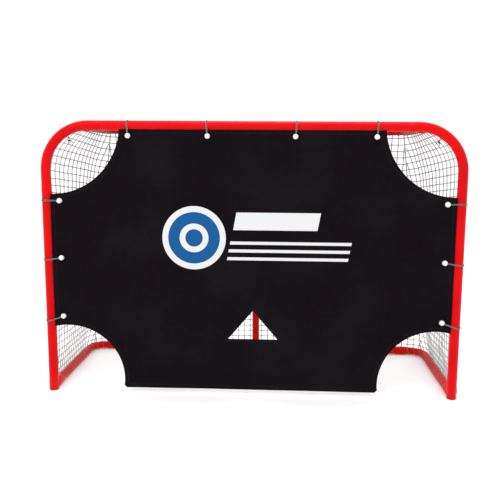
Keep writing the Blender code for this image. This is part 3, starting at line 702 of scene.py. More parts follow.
def snap_button(joint, side, word):
    node = "snap_button_%s_%s" % (joint, word)
    outside = POST_RADIUS if joint == "crossbar" else SLEEVE_RADIUS
    crown, seat = outside + 0.0035, inner_bore(joint) - 0.0016
    dome = [(0.004 * math.sin(t), crown - 0.0030 + 0.0030 * math.cos(t))
            for t in (math.pi / 2 * i / 8 for i in range(8, -1, -1))]
    build = Builder()
    origin, direction = button_place(joint, side)
    build.lathe([(0.0058, seat - 0.0012), (0.0062, seat - 0.0010), (0.0062, seat - 0.0002), (0.0058, seat),
                 (0.004, seat)] + dome, direction, origin, sides=40)
    build.piece("button_%s_%s" % (joint, word), NICKEL, body=node, replaces=[node])


def button_spring(joint, side, word):
    """A bent strip that stands on the tube's far wall under the button."""
    origin, push = button_place(joint, side)
    along = Vector((side, 0, 0)) if joint == "crossbar" else Vector((-1, 0, 0))
    across = push.cross(along)
    top, bottom = inner_bore(joint) - SPRING_TOP, SPRING_FOOT - inner_bore(joint)
    middle = (top + bottom) / 2
    rise = top - 0.0012 - middle
    outline = [(-0.0045, top), (0.0, top), (0.006, top)]
    outline += [(0.013 + 0.008 * math.cos(t), middle + rise * math.sin(t))
                for t in (math.pi * (0.5 - i / 24) for i in range(25))]
    outline += [(0.004, bottom), (0.0, bottom), (-0.0045, bottom)]
    rings = []
    for i, (u, v) in enumerate(outline):
        before, after = outline[max(i - 1, 0)], outline[min(i + 1, len(outline) - 1)]
        run = Vector((after[0] - before[0], after[1] - before[1])).normalized()
        normal = push * run.x - along * run.y
        rings.append([origin + along * u + push * v + normal * a + across * b for a, b in SPRING_STRIP])
    build = Builder()
    build.rings(rings, caps=True)
    name = "%s_%s" % (joint, word)
    obj = build.piece("spring_" + name, SPRING, body=None, replaces=["button_spring_" + name])
    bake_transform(obj)


# ---- Netting ----
def even(points, count):
    """A polyline resampled to evenly spaced points."""
    points = np.array([tuple(p) for p in points], float)
    steps = np.linalg.norm(np.diff(points, axis=0), axis=1)
    along = np.concatenate(([0.0], np.cumsum(steps)))
    at = np.linspace(0.0, along[-1], count)
    return np.stack([np.interp(at, along, points[:, k]) for k in range(3)], axis=1)


def net_edge(arm_x, bend, depth, front_z, back_z, quarter):
    """The net's edge outside a U of rear tube, from the post to a share of the corner's quarter turn."""
    radius = bend + NET_OFFSET
    side_x = arm_x + NET_OFFSET
    corner = (side_x - radius, FRONT_Y + depth - bend, 0.0)
    points = divided(Vector((side_x, FRONT_Y, 0.0)), Vector((side_x, corner[1], 0.0)), 30)
    points += arc(corner, (1, 0, 0), (0, 1, 0), radius, 20, quarter)
    for point in points:
        point.z = front_z + (back_z - front_z) * (point.y - FRONT_Y) / depth
    return points


def front_net_edge(count):
    """The net's edge behind a post and its bend."""
    bend_x, bend_z = POST_X - FRONT_BEND, BAR_Z - FRONT_BEND
    straight = bend_z - BASE_Z
    swing = math.acos((SHELF_ARM_X + NET_OFFSET - bend_x) / FRONT_BEND)
    total = straight + FRONT_BEND * swing
    clear = POST_RADIUS + 0.0075
    points = []
    for i in range(count):
        height = i / (count - 1)
        turn = max(0.0, height * total - straight) / FRONT_BEND
        x = bend_x + FRONT_BEND * math.cos(turn)
        z = bend_z + FRONT_BEND * math.sin(turn) if turn > 0.0 else BASE_Z + height * total
        lean = math.radians(67.5 - 37.5 * min(1.0, height / 0.1)) * min(1.0, 8.0 * (1.0 - height))
        outward = Vector((math.cos(turn), 0, math.sin(turn)))
        points.append(Vector((x, FRONT_Y, z)) + outward * clear * math.sin(lean)
                      + Vector((0, clear * math.cos(lean), 0)))
    return np.array([tuple(p) for p in points])


class Patch:
    """A net panel's surface: rows of points from its lower edge to its upper one."""

    def __init__(self, rows):
        self.rows = rows
        steps = np.linalg.norm(np.diff(rows, axis=1), axis=2)
        self.along = np.concatenate((np.zeros((len(rows), 1)), np.cumsum(steps, axis=1)), axis=1)
        climb = np.linalg.norm(np.diff(rows, axis=0), axis=2).mean(axis=1)
        self.climb = np.concatenate(([0.0], np.cumsum(climb)))

    def width(self, height):
        return float(np.interp(height, np.linspace(0, 1, len(self.rows)), self.along[:, -1]))

    def at(self, distance, height):
        """The point a distance along the row at a height from 0 to 1."""
        place = min(max(height, 0.0), 1.0) * (len(self.rows) - 1)
        low = min(int(place), len(self.rows) - 2)
        ends = []
        for i in (low, low + 1):
            ends.append([np.interp(distance, self.along[i], self.rows[i][:, k]) for k in range(3)])
        share = place - low
        return np.array(ends[0]) * (1 - share) + np.array(ends[1]) * share


def billowed(rows, push, amount, waves=1):
    """A panel pushed off its straight surface between its fixed edges, with slack of its own."""
    count_v, count_u = rows.shape[:2]
    for i in range(count_v):
        for j in range(count_u):
            v, u = i / (count_v - 1), j / (count_u - 1)
            hold = min(1.0, 12 * min(u, 1 - u, v, 1 - v))
            swell = abs(math.sin(math.pi * waves * u)) * math.sin(math.pi * v)
            place = Vector(rows[i, j])
            slack = noise.noise(place * 5.0 + Vector((SEED, 0, 0))) * 0.006
            slack += noise.noise(place * 17.0 + Vector((0, SEED, 0))) * 0.0025
            rows[i, j] += np.array(push) * (amount * swell + slack * hold)
    return Patch(rows)


def side_patch(side):
    count = 48
    front = front_net_edge(61)
    bottom, top = (even(net_edge(*end, 0.5), count) for end in (BASE_U, SHELF_U))
    bottom[0], top[0] = front[0], front[-1]
    rows = np.zeros((len(front), count, 3))
    for i, edge in enumerate(front):
        v = i / (len(front) - 1)
        rear = bottom[-1] * (1 - v) + top[-1] * v
        for j in range(count):
            u = j / (count - 1)
            corners = (bottom[0] * (1 - u) + bottom[-1] * u) * (1 - v) + (top[0] * (1 - u) + top[-1] * u) * v
            rows[i, j] = edge * (1 - u) + rear * u + bottom[j] * (1 - v) + top[j] * v - corners
    rows[:, :, 0] *= side
    return billowed(rows, (side, 0, 0), -0.010)


def back_patch():
    edges = []
    for end in (BASE_U, SHELF_U):
        half = net_edge(*end, 1.0)[40:]
        edges.append(even([(-p.x, p.y, p.z) for p in half] + [tuple(p) for p in half[::-1]], 121))
    rows = np.array([edges[0] * (1 - i / 60) + edges[1] * (i / 60) for i in range(61)])
    return billowed(rows, (0, 1, 0.25), -0.012, waves=2)


def top_patch():
    lift = SLEEVE_RADIUS + GAP + 0.0015
    edge = even(net_edge(*SHELF_U, 1.0), 61)
    corner = Vector((SHELF_ARM_X - SHELF_BEND, FRONT_Y + SHELF_DEPTH - SHELF_BEND))
    rows = []
    for x, y, z in edge:
        if y > corner.y:
            arm = (Vector((x, y)) - corner).normalized() * SHELF_BEND
            x, y = corner.x + arm.x, corner.y + arm.y
        else:
            x, y = SHELF_ARM_X, max(y, FRONT_Y + NET_BEHIND_BAR)
        rows.append([(x * share, y, z + lift) for share in np.linspace(-1, 1, 81)])
    return billowed(np.array(rows), (0, 0, 1), -0.013)


def net_panel(patch, name, node, centred):
    """Square mesh on a patch; strands up the panel swell at each knot, and strands across pass through."""
    build = Builder()
    rng = random.Random(SEED)
    height = patch.climb[-1]
    rows = round(height / MESH)
    levels = [0.0] + [(j + rng.uniform(-0.04, 0.04)) / rows for j in range(1, rows)] + [1.0]
    start = (patch.width(0.0) / 2) % MESH if centred else MESH
    widest = patch.width(0.0)
    for level in levels[1:-1]:
        width = patch.width(level)
        count = max(2, round(width / MESH * 2))
        build.rod([patch.at(width * i / count, level) for i in range(count + 1)], TWINE, sides=6)
    distance = start
    while distance < widest - MESH / 3:
        points = []
        radii = []
        for j in range(rows):
            for share, radius in ((0.0, TWINE * 1.75), (0.16, TWINE), (0.5, TWINE), (0.84, TWINE)):
                level = levels[j] + (levels[j + 1] - levels[j]) * share
                width = patch.width(level)
                inset = (widest - width) / 2 if centred else 0.0
                along = distance - inset
                if MESH / 8 < along < width - MESH / 8:
                    points.append(patch.at(along, level))
                    radii.append(radius)
        if len(points) > 3:
            build.rod(points, radii, sides=6)
        distance += MESH
    return build.piece(name, NET, replaces=[node], smooth=60.0)


def lacing(build, axis_points, toward, radius, pitch=0.045):
    """Twine wound round a tube and the net's edge rope beside it."""
    corners = np.array([tuple(p) for p in axis_points])
    length = np.linalg.norm(np.diff(corners, axis=0), axis=1).sum()
    axis = even(axis_points, max(3, int(length / pitch * 14)))
    across, up = path_frames(axis)
    points = []
    turned = 0.0
    for i, centre in enumerate(axis):
        if i:
            turned += np.linalg.norm(axis[i] - axis[i - 1]) / pitch * 2 * math.pi
        ray = across[i] * math.cos(turned) + up[i] * math.sin(turned)
        outward = unit(np.array(toward(centre)))
        near = max(0.0, float(ray.dot(outward)))
        reach = radius + 0.0013 + (NET_OFFSET + ROPE + 0.001 - radius) * near ** 6
        points.append(centre + ray * reach)
    build.rod(points, LACE, sides=6)


def net_trim(patches):
    """Ropes along the net's seams and edges, its lacing, and the hooks that hold it behind the front tube."""
    ropes = Builder()
    left, right, back, top = patches
    for patch in (left, right):
        for row, radius in ((patch.rows[:, 0], ROPE), (patch.rows[:, -1], ROPE), (patch.rows[0], EDGE_ROPE),
                            (patch.rows[-1], EDGE_ROPE)):
            ropes.rod(row, radius, sides=10)
    for row in (back.rows[0], back.rows[-1], top.rows[0]):
        ropes.rod(row, EDGE_ROPE, sides=10)
    ropes.piece("net_ropes", ROPE_WHITE)

    twine = Builder()
    for side, _ in SIDES:
        ends = (STUB_LENGTH + LACE_START, BASE_DEPTH - BASE_BEND)
        arm = [Vector((side * POST_X, FRONT_Y + d, BASE_Z)) for d in ends]
        arm += base_bend(side, 20)[1:]
        lacing(twine, arm, lambda p: away_from_middle(p, BASE_BEND_X, BACK_Y - BASE_BEND), REAR_RADIUS)
        ends = (STUB_LENGTH + LACE_START, SHELF_DEPTH - SHELF_BEND)
        arm = [shelf_front(side) + shelf_direction() * d for d in ends]
        arm += shelf_bend(side, 20)[1:]
        lacing(twine, arm, lambda p: away_from_middle(p, SHELF_ARM_X - SHELF_BEND, SHELF_Y - SHELF_BEND),
               REAR_RADIUS)
    for reach, y, z, rise in ((BASE_BEND_X - SLEEVE_LENGTH - LACE_START, BACK_Y, BASE_Z, 0),
                              (SHELF_ARM_X - SHELF_BEND, SHELF_Y, SHELF_Z, 0.6)):
        for start, end in ((-reach, -LACE_GAP), (LACE_GAP, reach)):
            lacing(twine, [Vector((start, y, z)), Vector((end, y, z))], lambda p: (0, 1, rise), REAR_RADIUS)
    twine.piece("net_lacing", LACING)

    hooks = Builder()
    for side, patch in ((-1, left), (1, right)):
        for height in np.linspace(0.10, 0.93, 9):
            hook(hooks, patch.at(0.0, height), nearest_on_post(patch.at(0.0, height), side))
    for x in np.linspace(-0.64, 0.64, 11):
        rope_at = Vector((x, FRONT_Y + NET_BEHIND_BAR, top.rows[0][0][2]))
        hook(hooks, rope_at, Vector((x, FRONT_Y, BAR_Z)))
    hooks.piece("net_hooks", NYLON)


def away_from_middle(point, corner_x, corner_y):
    """The direction from a U of rear tube towards the net outside it."""
    x, y = float(point[0]), float(point[1])
    if y <= corner_y:
        return (math.copysign(1.0, x), 0.0, 0.0)
    return (x - math.copysign(corner_x, x), y - corner_y, 0.0)


def nearest_on_post(point, side):
    """The nearest point on a post's axis."""
    bend = post_bend(side)
    if point[2] <= bend.z:
        return Vector((side * POST_X, FRONT_Y, point[2]))
    ray = Vector((point[0] - bend.x, 0.0, point[2] - bend.z)).normalized()
    return bend + ray * FRONT_BEND


def hook(build, rope, axis):
    """A small moulded hook that stands on the tube and curls round the net's rope."""
    rope, axis = Vector(rope), Vector(axis)
    out = (rope - axis).normalized()
    along = Vector((0, 0, 1)) if abs(out.z) < 0.5 else Vector((1, 0, 0))
    side = out.cross(along).normalized()
    foot = axis + out * (POST_RADIUS - 0.0004)
    build.lathe([(0.0058, 0.0), (0.0056, 0.0012), (0.0040, 0.0020), (0.0022, 0.0024)], out, foot, sides=20)
    reach = ROPE + 0.0013
    loop = [foot + side * 0.0025 + out * 0.001]
    for i in range(13):
        angle = math.radians(-60 + 285 * i / 12)
        loop.append(rope + side * (reach * math.cos(angle)) + out * (reach * math.sin(angle)))
    build.rod(loop, 0.0013, sides=8)


def corner_ties():
    """Dark ties, knotted inside the corner, that gather the net behind the posts' bends."""
    build = Builder()
    for side, _ in SIDES:
        bend = post_bend(side)
        ray = Vector((side * math.cos(math.radians(56)), 0, math.sin(math.radians(56))))
        along = Vector((-ray.z, 0, ray.x))
        centre = bend + ray * (FRONT_BEND - 0.008) + Vector((0, 0.004, 0))
        loop = [centre + ray * (0.031 * math.cos(t)) + Vector((0, 0.031 * math.sin(t), 0))
                for t in (math.radians(48) + math.radians(132) * i / 24 for i in range(25))]
        build.rod(loop, 0.0014, sides=8)
        knot = centre - ray * 0.031
        build.rod([knot - along * 0.006, knot - along * 0.002 - ray * 0.002, knot + along * 0.002,
                   knot + along * 0.006],
                  [0.0022, 0.0042, 0.0042, 0.0022], sides=10)
        for turn in (-1, 1):
            build.rod([knot, knot - ray * 0.008 + along * (0.007 * turn),
                       knot - ray * 0.020 + along * (0.010 * turn)], 0.0013, sides=8)
    build.piece("net_corner_ties", TIE)


# ---- Target sheet ----
def cut_out(side, top, inset, spacing):
    """A corner opening's arc, inset from the sheet's edge, from its side edge to its top or bottom."""
    x, z, radius = TOP_CUT if top else BOTTOM_CUT
    radius += inset
    edge = SHEET_TOP - inset if top else SHEET_BOTTOM + inset
    up = -1.0 if top else 1.0
    start = math.acos((SHEET_HALF_WIDTH - inset - x) / radius)
    end = math.pi - math.asin(up * (edge - z) / radius)
    steps = max(8, int(radius * (end - start) / spacing))
    angles = [start + (end - start) * i / steps for i in range(steps + 1)]
    return [(side * (x + radius * math.cos(t)), z + up * radius * math.sin(t)) for t in angles]


def chamfered(points):
    """An arc that ends on the bottom edge, with its sharp corner cut off."""
    x, z = points[-1]
    kept = [p for p in points if p[1] > z + SHEET_CORNER * 1.2]
    return kept + [(x, z + SHEET_CORNER), (x - math.copysign(SHEET_CORNER, x), z)]


def sheet_outline(inset=0.0, spacing=0.012):
    corners = cut_out(1, True, inset, spacing)
    corners += cut_out(-1, True, inset, spacing)[::-1]
    corners += chamfered(cut_out(-1, False, inset, spacing))
    corners += chamfered(cut_out(1, False, inset, spacing))[::-1]
    return spaced(corners, spacing)


def spaced(loop, spacing):
    """A closed loop with its long edges divided."""
    points = []
    for (x, z), (next_x, next_z) in zip(loop, loop[1:] + loop[:1]):
        steps = max(1, round(math.hypot(next_x - x, next_z - z) / spacing))
        points += [(x + (next_x - x) * i / steps, z + (next_z - z) * i / steps) for i in range(steps)]
    return points


def grown_triangle(distance):
    """The low hole's outline, moved outwards."""
    centre = (HOLE[2][0], HOLE[0][1] + 0.05)
    lines = []
    for (ax, az), (bx, bz) in zip(HOLE, HOLE[1:] + HOLE[:1]):
        length = math.hypot(bx - ax, bz - az)
        nx, nz = (bz - az) / length, (ax - bx) / length
        if (ax - centre[0]) * nx + (az - centre[1]) * nz < 0:
            nx, nz = -nx, -nz
        lines.append((nx, nz, nx * ax + nz * az + distance))
    corners = []
    for (a, b, c), (d, e, f) in zip(lines, lines[1:] + lines[:1]):
        det = a * e - b * d
        corners.append(((c * e - b * f) / det, (a * f - c * d) / det))
    return corners


def ring(centre, radius, steps):
    return [(centre[0] + radius * math.cos(2 * math.pi * i / steps),
             centre[1] + radius * math.sin(2 * math.pi * i / steps)) for i in range(steps)]


def slanted(x0, x1, z0, z1, slant=0.18):
    """A bar that leans forward as it rises."""
    lean = (z1 - z0) * slant
    return [(x0, z0), (x1, z0), (x1 + lean, z1), (x0 + lean, z1)]


def prints():
    """The sheet's generic print as (loop, material index): a roundel, one thick and three thin bars."""
    middle_of_roundel = (-0.258, 0.740)
    shapes = [(ring(middle_of_roundel, 0.145, 72), 1), (ring(middle_of_roundel, 0.118, 64), 2),
              (ring(middle_of_roundel, 0.066, 48), 1), (ring(middle_of_roundel, 0.040, 36), 2)]
    shapes.append((spaced(slanted(-0.080, 0.300, 0.778, 0.858), 0.02), 1))
    for i in range(3):
        z = 0.640 + 0.036 * i
        shapes.append((spaced(slanted(-0.108 + 0.0065 * i, 0.440 + 0.0065 * i, z, z + 0.014), 0.02), 1))
    return shapes


def inside(loop, x, z):
    """Whether each point lies in a closed loop."""
    result = np.zeros(len(x), bool)
    for (ax, az), (bx, bz) in zip(loop, loop[1:] + loop[:1]):
        crosses = (az > z) != (bz > z)
        with np.errstate(divide="ignore", invalid="ignore"):
            result ^= crosses & (x < (bx - ax) * (z - az) / (bz - az) + ax)
    return result


def distance_to(loop, x, z):
    """Each point's distance to a closed loop."""
    best = np.full(len(x), 1e9)
    for (ax, az), (bx, bz) in zip(loop, loop[1:] + loop[:1]):
        length = max((bx - ax) ** 2 + (bz - az) ** 2, 1e-12)
        t = np.clip(((x - ax) * (bx - ax) + (z - az) * (bz - az)) / length, 0, 1)
        best = np.minimum(best, np.hypot(x - ax - t * (bx - ax), z - az - t * (bz - az)))
    return best


class FlatSheet:
    """The sheet's cut pattern as triangles, with the hem and the print as edges of the mesh."""

    def __init__(self, grommets):
        spacing = 0.016
        outline = sheet_outline()
        hole = spaced(list(HOLE), 0.012)
        eyes = [ring(place, 0.0065, 16) for place in grommets]
        self.holes = [hole, *eyes]
        self.hem_lines = [sheet_outline(HEM), sheet_outline(HEM - 0.0015),
                          spaced(grown_triangle(HOLE_HEM), 0.012),
                          spaced(grown_triangle(HOLE_HEM - 0.0015), 0.012)]
        self.prints = prints()
        loops = [outline, *self.holes, *self.hem_lines, *[loop for loop, _ in self.prints]]
        loops += [ring(place, 0.0125, 20) for place in grommets]
        columns = np.arange(-SHEET_HALF_WIDTH, SHEET_HALF_WIDTH, spacing)
        levels = np.arange(SHEET_BOTTOM, SHEET_TOP, spacing * 0.866)
        x, z = np.meshgrid(columns, levels)
        x[1::2] += spacing / 2
        x, z = x.ravel(), z.ravel()
        keep = inside(outline, x, z)
        for loop in loops:
            keep &= distance_to(loop, x, z) > spacing * 0.42
        for loop in self.holes:
            keep &= ~inside(loop, x, z)
        points = [Vector(p) for loop in loops for p in loop]
        edges = []
        first = 0
        for loop in loops:
            edges += [(first + i, first + (i + 1) % len(loop)) for i in range(len(loop))]
            first += len(loop)
        points += [Vector(p) for p in zip(x[keep], z[keep])]
        found, _, faces, _, _, _ = delaunay_2d_cdt(points, edges, [], 0, 1e-6)
        flat = np.array([tuple(p) for p in found])
        faces = np.array([f for f in faces if len(f) == 3])
        centres = flat[faces].mean(axis=1)
        keep = inside(outline, centres[:, 0], centres[:, 1])
        for loop in self.holes:
            keep &= ~inside(loop, centres[:, 0], centres[:, 1])
        self.faces = faces[keep]
        used = np.unique(self.faces)
        renumber = np.zeros(len(flat), int)
        renumber[used] = np.arange(len(used))
        self.faces = renumber[self.faces]
        self.flat = flat[used]
        centres = self.flat[self.faces].mean(axis=1)
        self.colour = np.zeros(len(self.faces), int)
        for loop, index in self.prints:
            self.colour[inside(loop, centres[:, 0], centres[:, 1])] = index
        x, z = self.flat.T
        edge = np.minimum(distance_to(outline, x, z), distance_to(hole, x, z) * HEM / HOLE_HEM)
        self.hem = edge < HEM - 0.0008
        a, b, c = (self.flat[self.faces[:, k]] for k in range(3))
        self.area = float(np.abs(np.cross(b - a, c - a)).sum() / 2)

    def start(self):
        """The sheet hung flat, with faint slack so that it can find its folds."""
        rows = np.zeros((len(self.flat), 3))
        rows[:, 0], rows[:, 2] = self.flat.T
        for i, (x, z) in enumerate(self.flat):
            rows[i, 1] = SHEET_Y + 0.0012 * noise.noise(Vector((x * 4.0, SEED, z * 1.6)))
        return rows


def settle(sheet, grommets):
    """Cloth simulation: the sheet hangs from its eyelets, which the elastic pulls outwards."""
    start = sheet.start()
    mesh = bpy.data.meshes.new("sheet_sim")
    mesh.from_pydata(start.tolist(), [], sheet.faces.tolist())
    obj = linked("sheet_sim", mesh)
    pins = obj.vertex_groups.new(name="pins")
    eyes = np.array(grommets)
    near = np.linalg.norm(sheet.flat[:, None] - eyes[None], axis=2)
    held = near.min(axis=1) < 0.0135
    pins.add([int(i) for i in np.nonzero(held)[0]], 1.0, "REPLACE")
    shape = start.copy()
    pull = np.array([eye_pull(eye) for eye in grommets])[near.argmin(axis=1)]
    shape[held, 0] += pull[held, 0]
    shape[held, 2] += pull[held, 1]
    mesh.vertices.foreach_set("co", shape.ravel())
    rest = obj.shape_key_add(name="Basis")
    rest.data.foreach_set("co", start.ravel())
    cloth = obj.modifiers.new("cloth", "CLOTH")
    for setting, value in (("vertex_group_mass", "pins"), ("mass", 0.05), ("quality", 8),
                           ("tension_stiffness", 60.0), ("compression_stiffness", 60.0),
                           ("shear_stiffness", 30.0), ("bending_stiffness", 3.0),
                           ("tension_damping", 10.0), ("compression_damping", 10.0)):
        setattr(cloth.settings, setting, value)
    cloth.settings.effector_weights.gravity = 0.02
    cloth.collision_settings.use_collision = False
    cloth.collision_settings.use_self_collision = False
    scene = bpy.context.scene
    scene.frame_start = 1
    for step in range(1, SIM_FRAMES + 1):
        scene.frame_set(step)
    settled = obj.evaluated_get(bpy.context.evaluated_depsgraph_get()).data
    result = np.zeros(len(start) * 3)
    settled.vertices.foreach_get("co", result)
    scene.frame_set(1)
    bpy.data.objects.remove(obj)
    return result.reshape(-1, 3)


def eye_pull(eye):
    """How far the elastic holds an eyelet outwards from the flat pattern, in x and z."""
    if eye[1] > 1.1:
        return 0.0, EYE_PULL
    return math.copysign(EYE_PULL, eye[0]), 0.0


def hung(sheet, grommets):
    return settle(sheet, grommets)


def cloth_mesh(sheet, shape):
    """Both faces of the sheet, thicker along its hems, with the print on the front."""
    a, b, c = (shape[sheet.faces[:, k]] for k in range(3))
    face_normals = np.cross(b - a, c - a)
    normals = np.zeros_like(shape)
    for k in range(3):
        np.add.at(normals, sheet.faces[:, k], face_normals)
    normals = unit(normals)
    if normals[:, 1].mean() > 0:
        normals = -normals
    half = np.where(sheet.hem, CLOTH * 0.95, CLOTH * 0.5)[:, None]
    count = len(shape)
    points = np.concatenate((shape + normals * half, shape - normals * half))
    facing = np.cross(b - a, c - a)[:, 1].mean() < 0
    front = sheet.faces if facing else sheet.faces[:, ::-1]
    back = sheet.faces[:, ::-1] + count if facing else sheet.faces + count
    edges = {}
    for face in front:
        for i, j in ((0, 1), (1, 2), (2, 0)):
            edges[(int(face[i]), int(face[j]))] = True
    walls = [(j, i, i + count, j + count) for i, j in edges if (j, i) not in edges]
    faces = front.tolist() + back.tolist() + walls
    mesh = bpy.data.meshes.new("sheet_cloth")
    mesh.from_pydata(points.tolist(), [], faces)
    for material in (BLACK, WHITE_INK, BLUE_INK):
        mesh.materials.append(material)
    indices = np.zeros(len(faces), np.int32)
    indices[:len(front)] = sheet.colour
    mesh.polygons.foreach_set("material_index", indices)
    mesh.shade_smooth()
    mesh.set_sharp_from_angle(angle=math.radians(50.0))
    return mesh


def target_sheet(grommets):
    sheet = FlatSheet(grommets)
    shape = hung(sheet, grommets)
    mesh = cloth_mesh(sheet, shape)
    obj = linked("target_cloth", mesh)
    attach(obj, "frame")
    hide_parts("target_sheet")
    stitches = hem_stitches(sheet, shape)


def hem_stitches(sheet, shape):
    """Thread dashes along the hems, on the front and laid on the settled cloth."""
    flat = [Vector((x, z, 0.0)) for x, z in sheet.flat]
    tree = BVHTree.FromPolygons(flat, sheet.faces.tolist())
    solid = [Vector(p) for p in shape]
    build = Builder()
    for loop in (sheet_outline(HEM - 0.005, 0.0055), spaced(grown_triangle(0.0085), 0.0055)):
        for (ax, az), (bx, bz) in zip(loop, loop[1:] + loop[:1]):
            if math.hypot(bx - ax, bz - az) > 0.02:
                continue
            dash = []
            for share, lift in ((0.08, -0.0003), (0.2, 0.0003), (0.5, 0.0005), (0.75, 0.0003),
                                (0.87, -0.0003)):
                place = Vector((ax + (bx - ax) * share, az + (bz - az) * share, 0.0))
                at, _, index, _ = tree.find_nearest(place)
                corners = sheet.faces[index]
                point = barycentric_transform(at, *(flat[k] for k in corners), *(solid[k] for k in corners))
                dash.append(point + Vector((0, -CLOTH * 0.95 - lift, 0)))
            build.rod(dash, 0.00035, sides=4)
    return build.piece("hem_stitches", THREAD)


# ---- Ball bungees ----
def ties():
    """Every bungee: its name, the ball's centre, the way to its tube, its reach and its shift at the tube."""
    found = []
    for node in sorted(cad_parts):
        if node.startswith("ball_"):
            name = node[len("ball_"):]
            centre = middle(node)
            if name.startswith("top"):
                out, reach = Vector((0, 0, 1)), BAR_Z - centre.z
                shift = Vector((math.copysign(TOP_SHIFT, centre.x), 0, 0))
            else:
                side = math.copysign(1.0, centre.x)
                out, reach = Vector((side, 0, 0)), POST_X - abs(centre.x)
                shift = Vector((0, 0, SIDE_SHIFTS[name.split("_")[1]]))
            found.append((name, centre, out, reach, shift))
    return found


def bungee(name, ball, out, reach, shift):
    """A ball, its eyelet and the two strands of its loop."""
    front = Vector((0, -1, 0))
    body = "ball_" + name
    crown, hole, knot = BALL_RADIUS, 0.0034, 0.0046
    profile = [(0.0, 0.004), (hole, 0.004), (hole, crown - 0.0018), (hole + 0.0009, crown - 0.0008)]
    for i in range(1, 16):
        angle = math.radians(18 + 141 * i / 16)
        profile.append((BALL_RADIUS * math.sin(angle), BALL_RADIUS * math.cos(angle)))
    profile += [(knot + 0.0004, -crown + 0.0009), (knot, -crown + 0.0017), (knot * 0.9, -0.008),
                (0.0, -0.008)]
    build = Builder()
    build.lathe(profile, out, ball, sides=36)
    build.piece("bungee_ball_" + name, NYLON, body=body, replaces=[body], smooth=35.0)

    eye = Builder()
    half = [(GROMMET_BORE + 0.0006, 0.0009), (GROMMET_LIP * 0.98, 0.0010), (GROMMET_LIP, 0.0014),
            (GROMMET_LIP - 0.0012, 0.0022), (GROMMET_LIP - 0.0026, 0.0026), (GROMMET_BORE + 0.0012, 0.0024),
            (GROMMET_BORE + 0.0003, 0.0017), (GROMMET_BORE, 0.0008)]
    eye.lathe(half + [(radius, -height) for radius, height in half[::-1]], front,
              Vector((ball.x, SHEET_Y, ball.z)), sides=40, closed=True)
    eye.piece("eyelet_" + name, NICKEL, replaces=["grommet_" + name])

    lateral = out.cross(front).normalized()
    axis = ball + out * reach
    axis.y = FRONT_Y
    ball_front = FRONT_Y - ball.y
    sheet_front = FRONT_Y - SHEET_Y
    wrap = POST_RADIUS + STRAND + 0.0002
    mouth = (BALL_RADIUS - reach, ball_front)
    behind = (-reach, sheet_front - 0.0095)
    first = math.atan2(mouth[1], mouth[0]) - math.acos(wrap / math.hypot(*mouth))
    last = math.atan2(behind[1], behind[0]) + math.acos(wrap / math.hypot(*behind)) - 2 * math.pi
    over = Builder()
    under = Builder()
    for gap in (-1, 1):
        def place(along, forward, spread):
            share = min(1.0, max(0.0, (along + reach) / (reach - 0.010)))
            return axis + out * along + front * forward + shift * share + lateral * (gap * spread)

        turns = [first + (last - first) * i / 26 for i in range(27)]
        wound = [place(wrap * math.cos(t), wrap * math.sin(t), 0.0019) for t in turns]
        start = wound[0]
        lead = [place(mouth[0] - 0.007, mouth[1], 0.00165), place(mouth[0] - 0.002, mouth[1], 0.00165)]
        lead += [lead[-1].lerp(start, i / 8) for i in range(1, 8)]
        over.rod(lead + wound[:20], STRAND, sides=12)
        tail = wound[19:]
        into = place(-reach, sheet_front - 0.006, 0.0019)
        tail += [tail[-1].lerp(into, i / 8) for i in range(1, 9)]
        tail.append(place(-reach, sheet_front + 0.0015, 0.0019))
        tail.append(place(-reach, sheet_front + 0.0035, 0.0040))
        tail.append(place(-reach, ball_front - NECK, 0.0090))
        under.rod(tail, STRAND, sides=12)
    neck = Vector((ball.x, ball.y + NECK, ball.z))
    under.rod([neck + lateral * (NECK * math.cos(t)) + out * (NECK * math.sin(t))
               for t in (2 * math.pi * i / 32 for i in range(32))], STRAND, sides=12, cyclic=True)
    top = over.piece("bungee_over_" + name, ELASTIC, body=None, replaces=["cord_" + name])
    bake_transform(top)
    loop = under.piece("bungee_under_" + name, ELASTIC, body=None)
    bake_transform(loop)


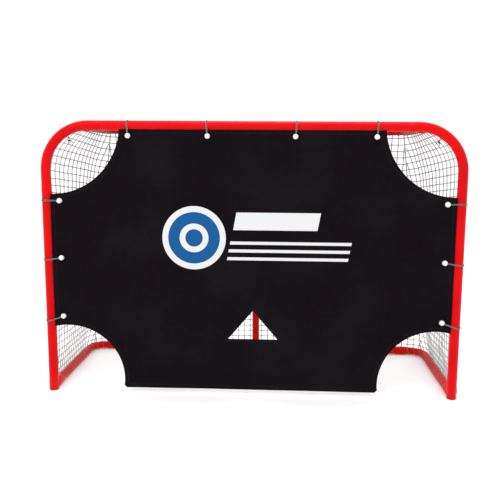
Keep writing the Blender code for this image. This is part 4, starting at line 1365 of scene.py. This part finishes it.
# ---- Scene ----
def stage():
    floor = bpy.data.meshes.new("floor")
    floor.from_pydata([(-60, -60, 0), (60, -60, 0), (60, 60, 0), (-60, 60, 0)], [], [(0, 1, 2, 3)])
    obj = linked("floor", floor)
    floor.materials.append(floor_finish())
    obj.location.z = -0.0005

    world = bpy.data.worlds.new("studio")
    world.use_nodes = True
    world.node_tree.nodes["Background"].inputs["Color"].default_value = (1.0, 1.0, 1.0, 1.0)
    world.node_tree.nodes["Background"].inputs["Strength"].default_value = 1.10
    bpy.context.scene.world = world
    area_light("key", (-1.6, -3.2, 3.4), (0, 0, 0.7), 2.2, 40.0)
    area_light("top", (0.2, -0.2, 3.4), (0, 0, 0.6), 1.6, 40.0)
    area_light("fill", (0.0, FRONT_Y + 0.24, 0.95), (0, BACK_Y, 0.25), 0.3, 2.0)


def area_light(name, place, target, size, power):
    light = bpy.data.lights.new(name, "AREA")
    light.size = size
    light.energy = power
    obj = linked(name, light)
    obj.location = place
    obj.rotation_euler = (Vector(target) - Vector(place)).to_track_quat("-Z", "Y").to_euler()
    obj.visible_camera = False


def camera():
    """The photograph's view: nearly level, a little right of the middle, aimed slightly left."""
    data = bpy.data.cameras.new("camera")
    data.sensor_width = 36.0
    data.lens = LENS
    obj = linked("camera", data)
    turn = Matrix.Rotation(math.radians(YAW), 4, "Z") @ Matrix.Rotation(math.radians(90 - PITCH), 4, "X")
    roll = Matrix.Rotation(math.radians(ROLL), 4, "Z")
    obj.matrix_world = Matrix.Translation((CAMERA_X, FRONT_Y - CAMERA_BACK, CAMERA_Z)) @ turn @ roll
    bpy.context.scene.camera = obj


def carried_over():
    """Node materials for the CAD nodes that show as they are."""
    for node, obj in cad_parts.items():
        if node.startswith("foot_plug"):
            obj.data.materials.clear()
            obj.data.materials.append(PLUG)


def build():
    camera()
    stage()
    carried_over()
    for side, word in SIDES:
        post(side, word)
        base_arm(side, word)
        for joint in ("crossbar", "base"):
            snap_button(joint, side, word)
            button_spring(joint, side, word)
    crossbar()
    back_bar()
    shelf()
    centre_tube()
    for node in sorted(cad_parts):
        if node.startswith("screw_"):
            hex_screw("hex_" + node, node)
    left, right, back, top = side_patch(-1), side_patch(1), back_patch(), top_patch()
    net_panel(left, "netting_left", "net_side_panel_left", centred=False)
    net_panel(right, "netting_right", "net_side_panel_right", centred=False)
    net_panel(back, "netting_back", "net_back_panel", centred=True)
    net_panel(top, "netting_top", "net_top_panel", centred=True)
    net_trim((left, right, back, top))
    corner_ties()
    bungees = ties()
    target_sheet([(ball.x, ball.z) for _, ball, _, _, _ in bungees])
    for tie in bungees:
        bungee(*tie)


build()
bpy.context.scene.view_settings.view_transform = "Standard"
bpy.context.scene.view_settings.look = "None"
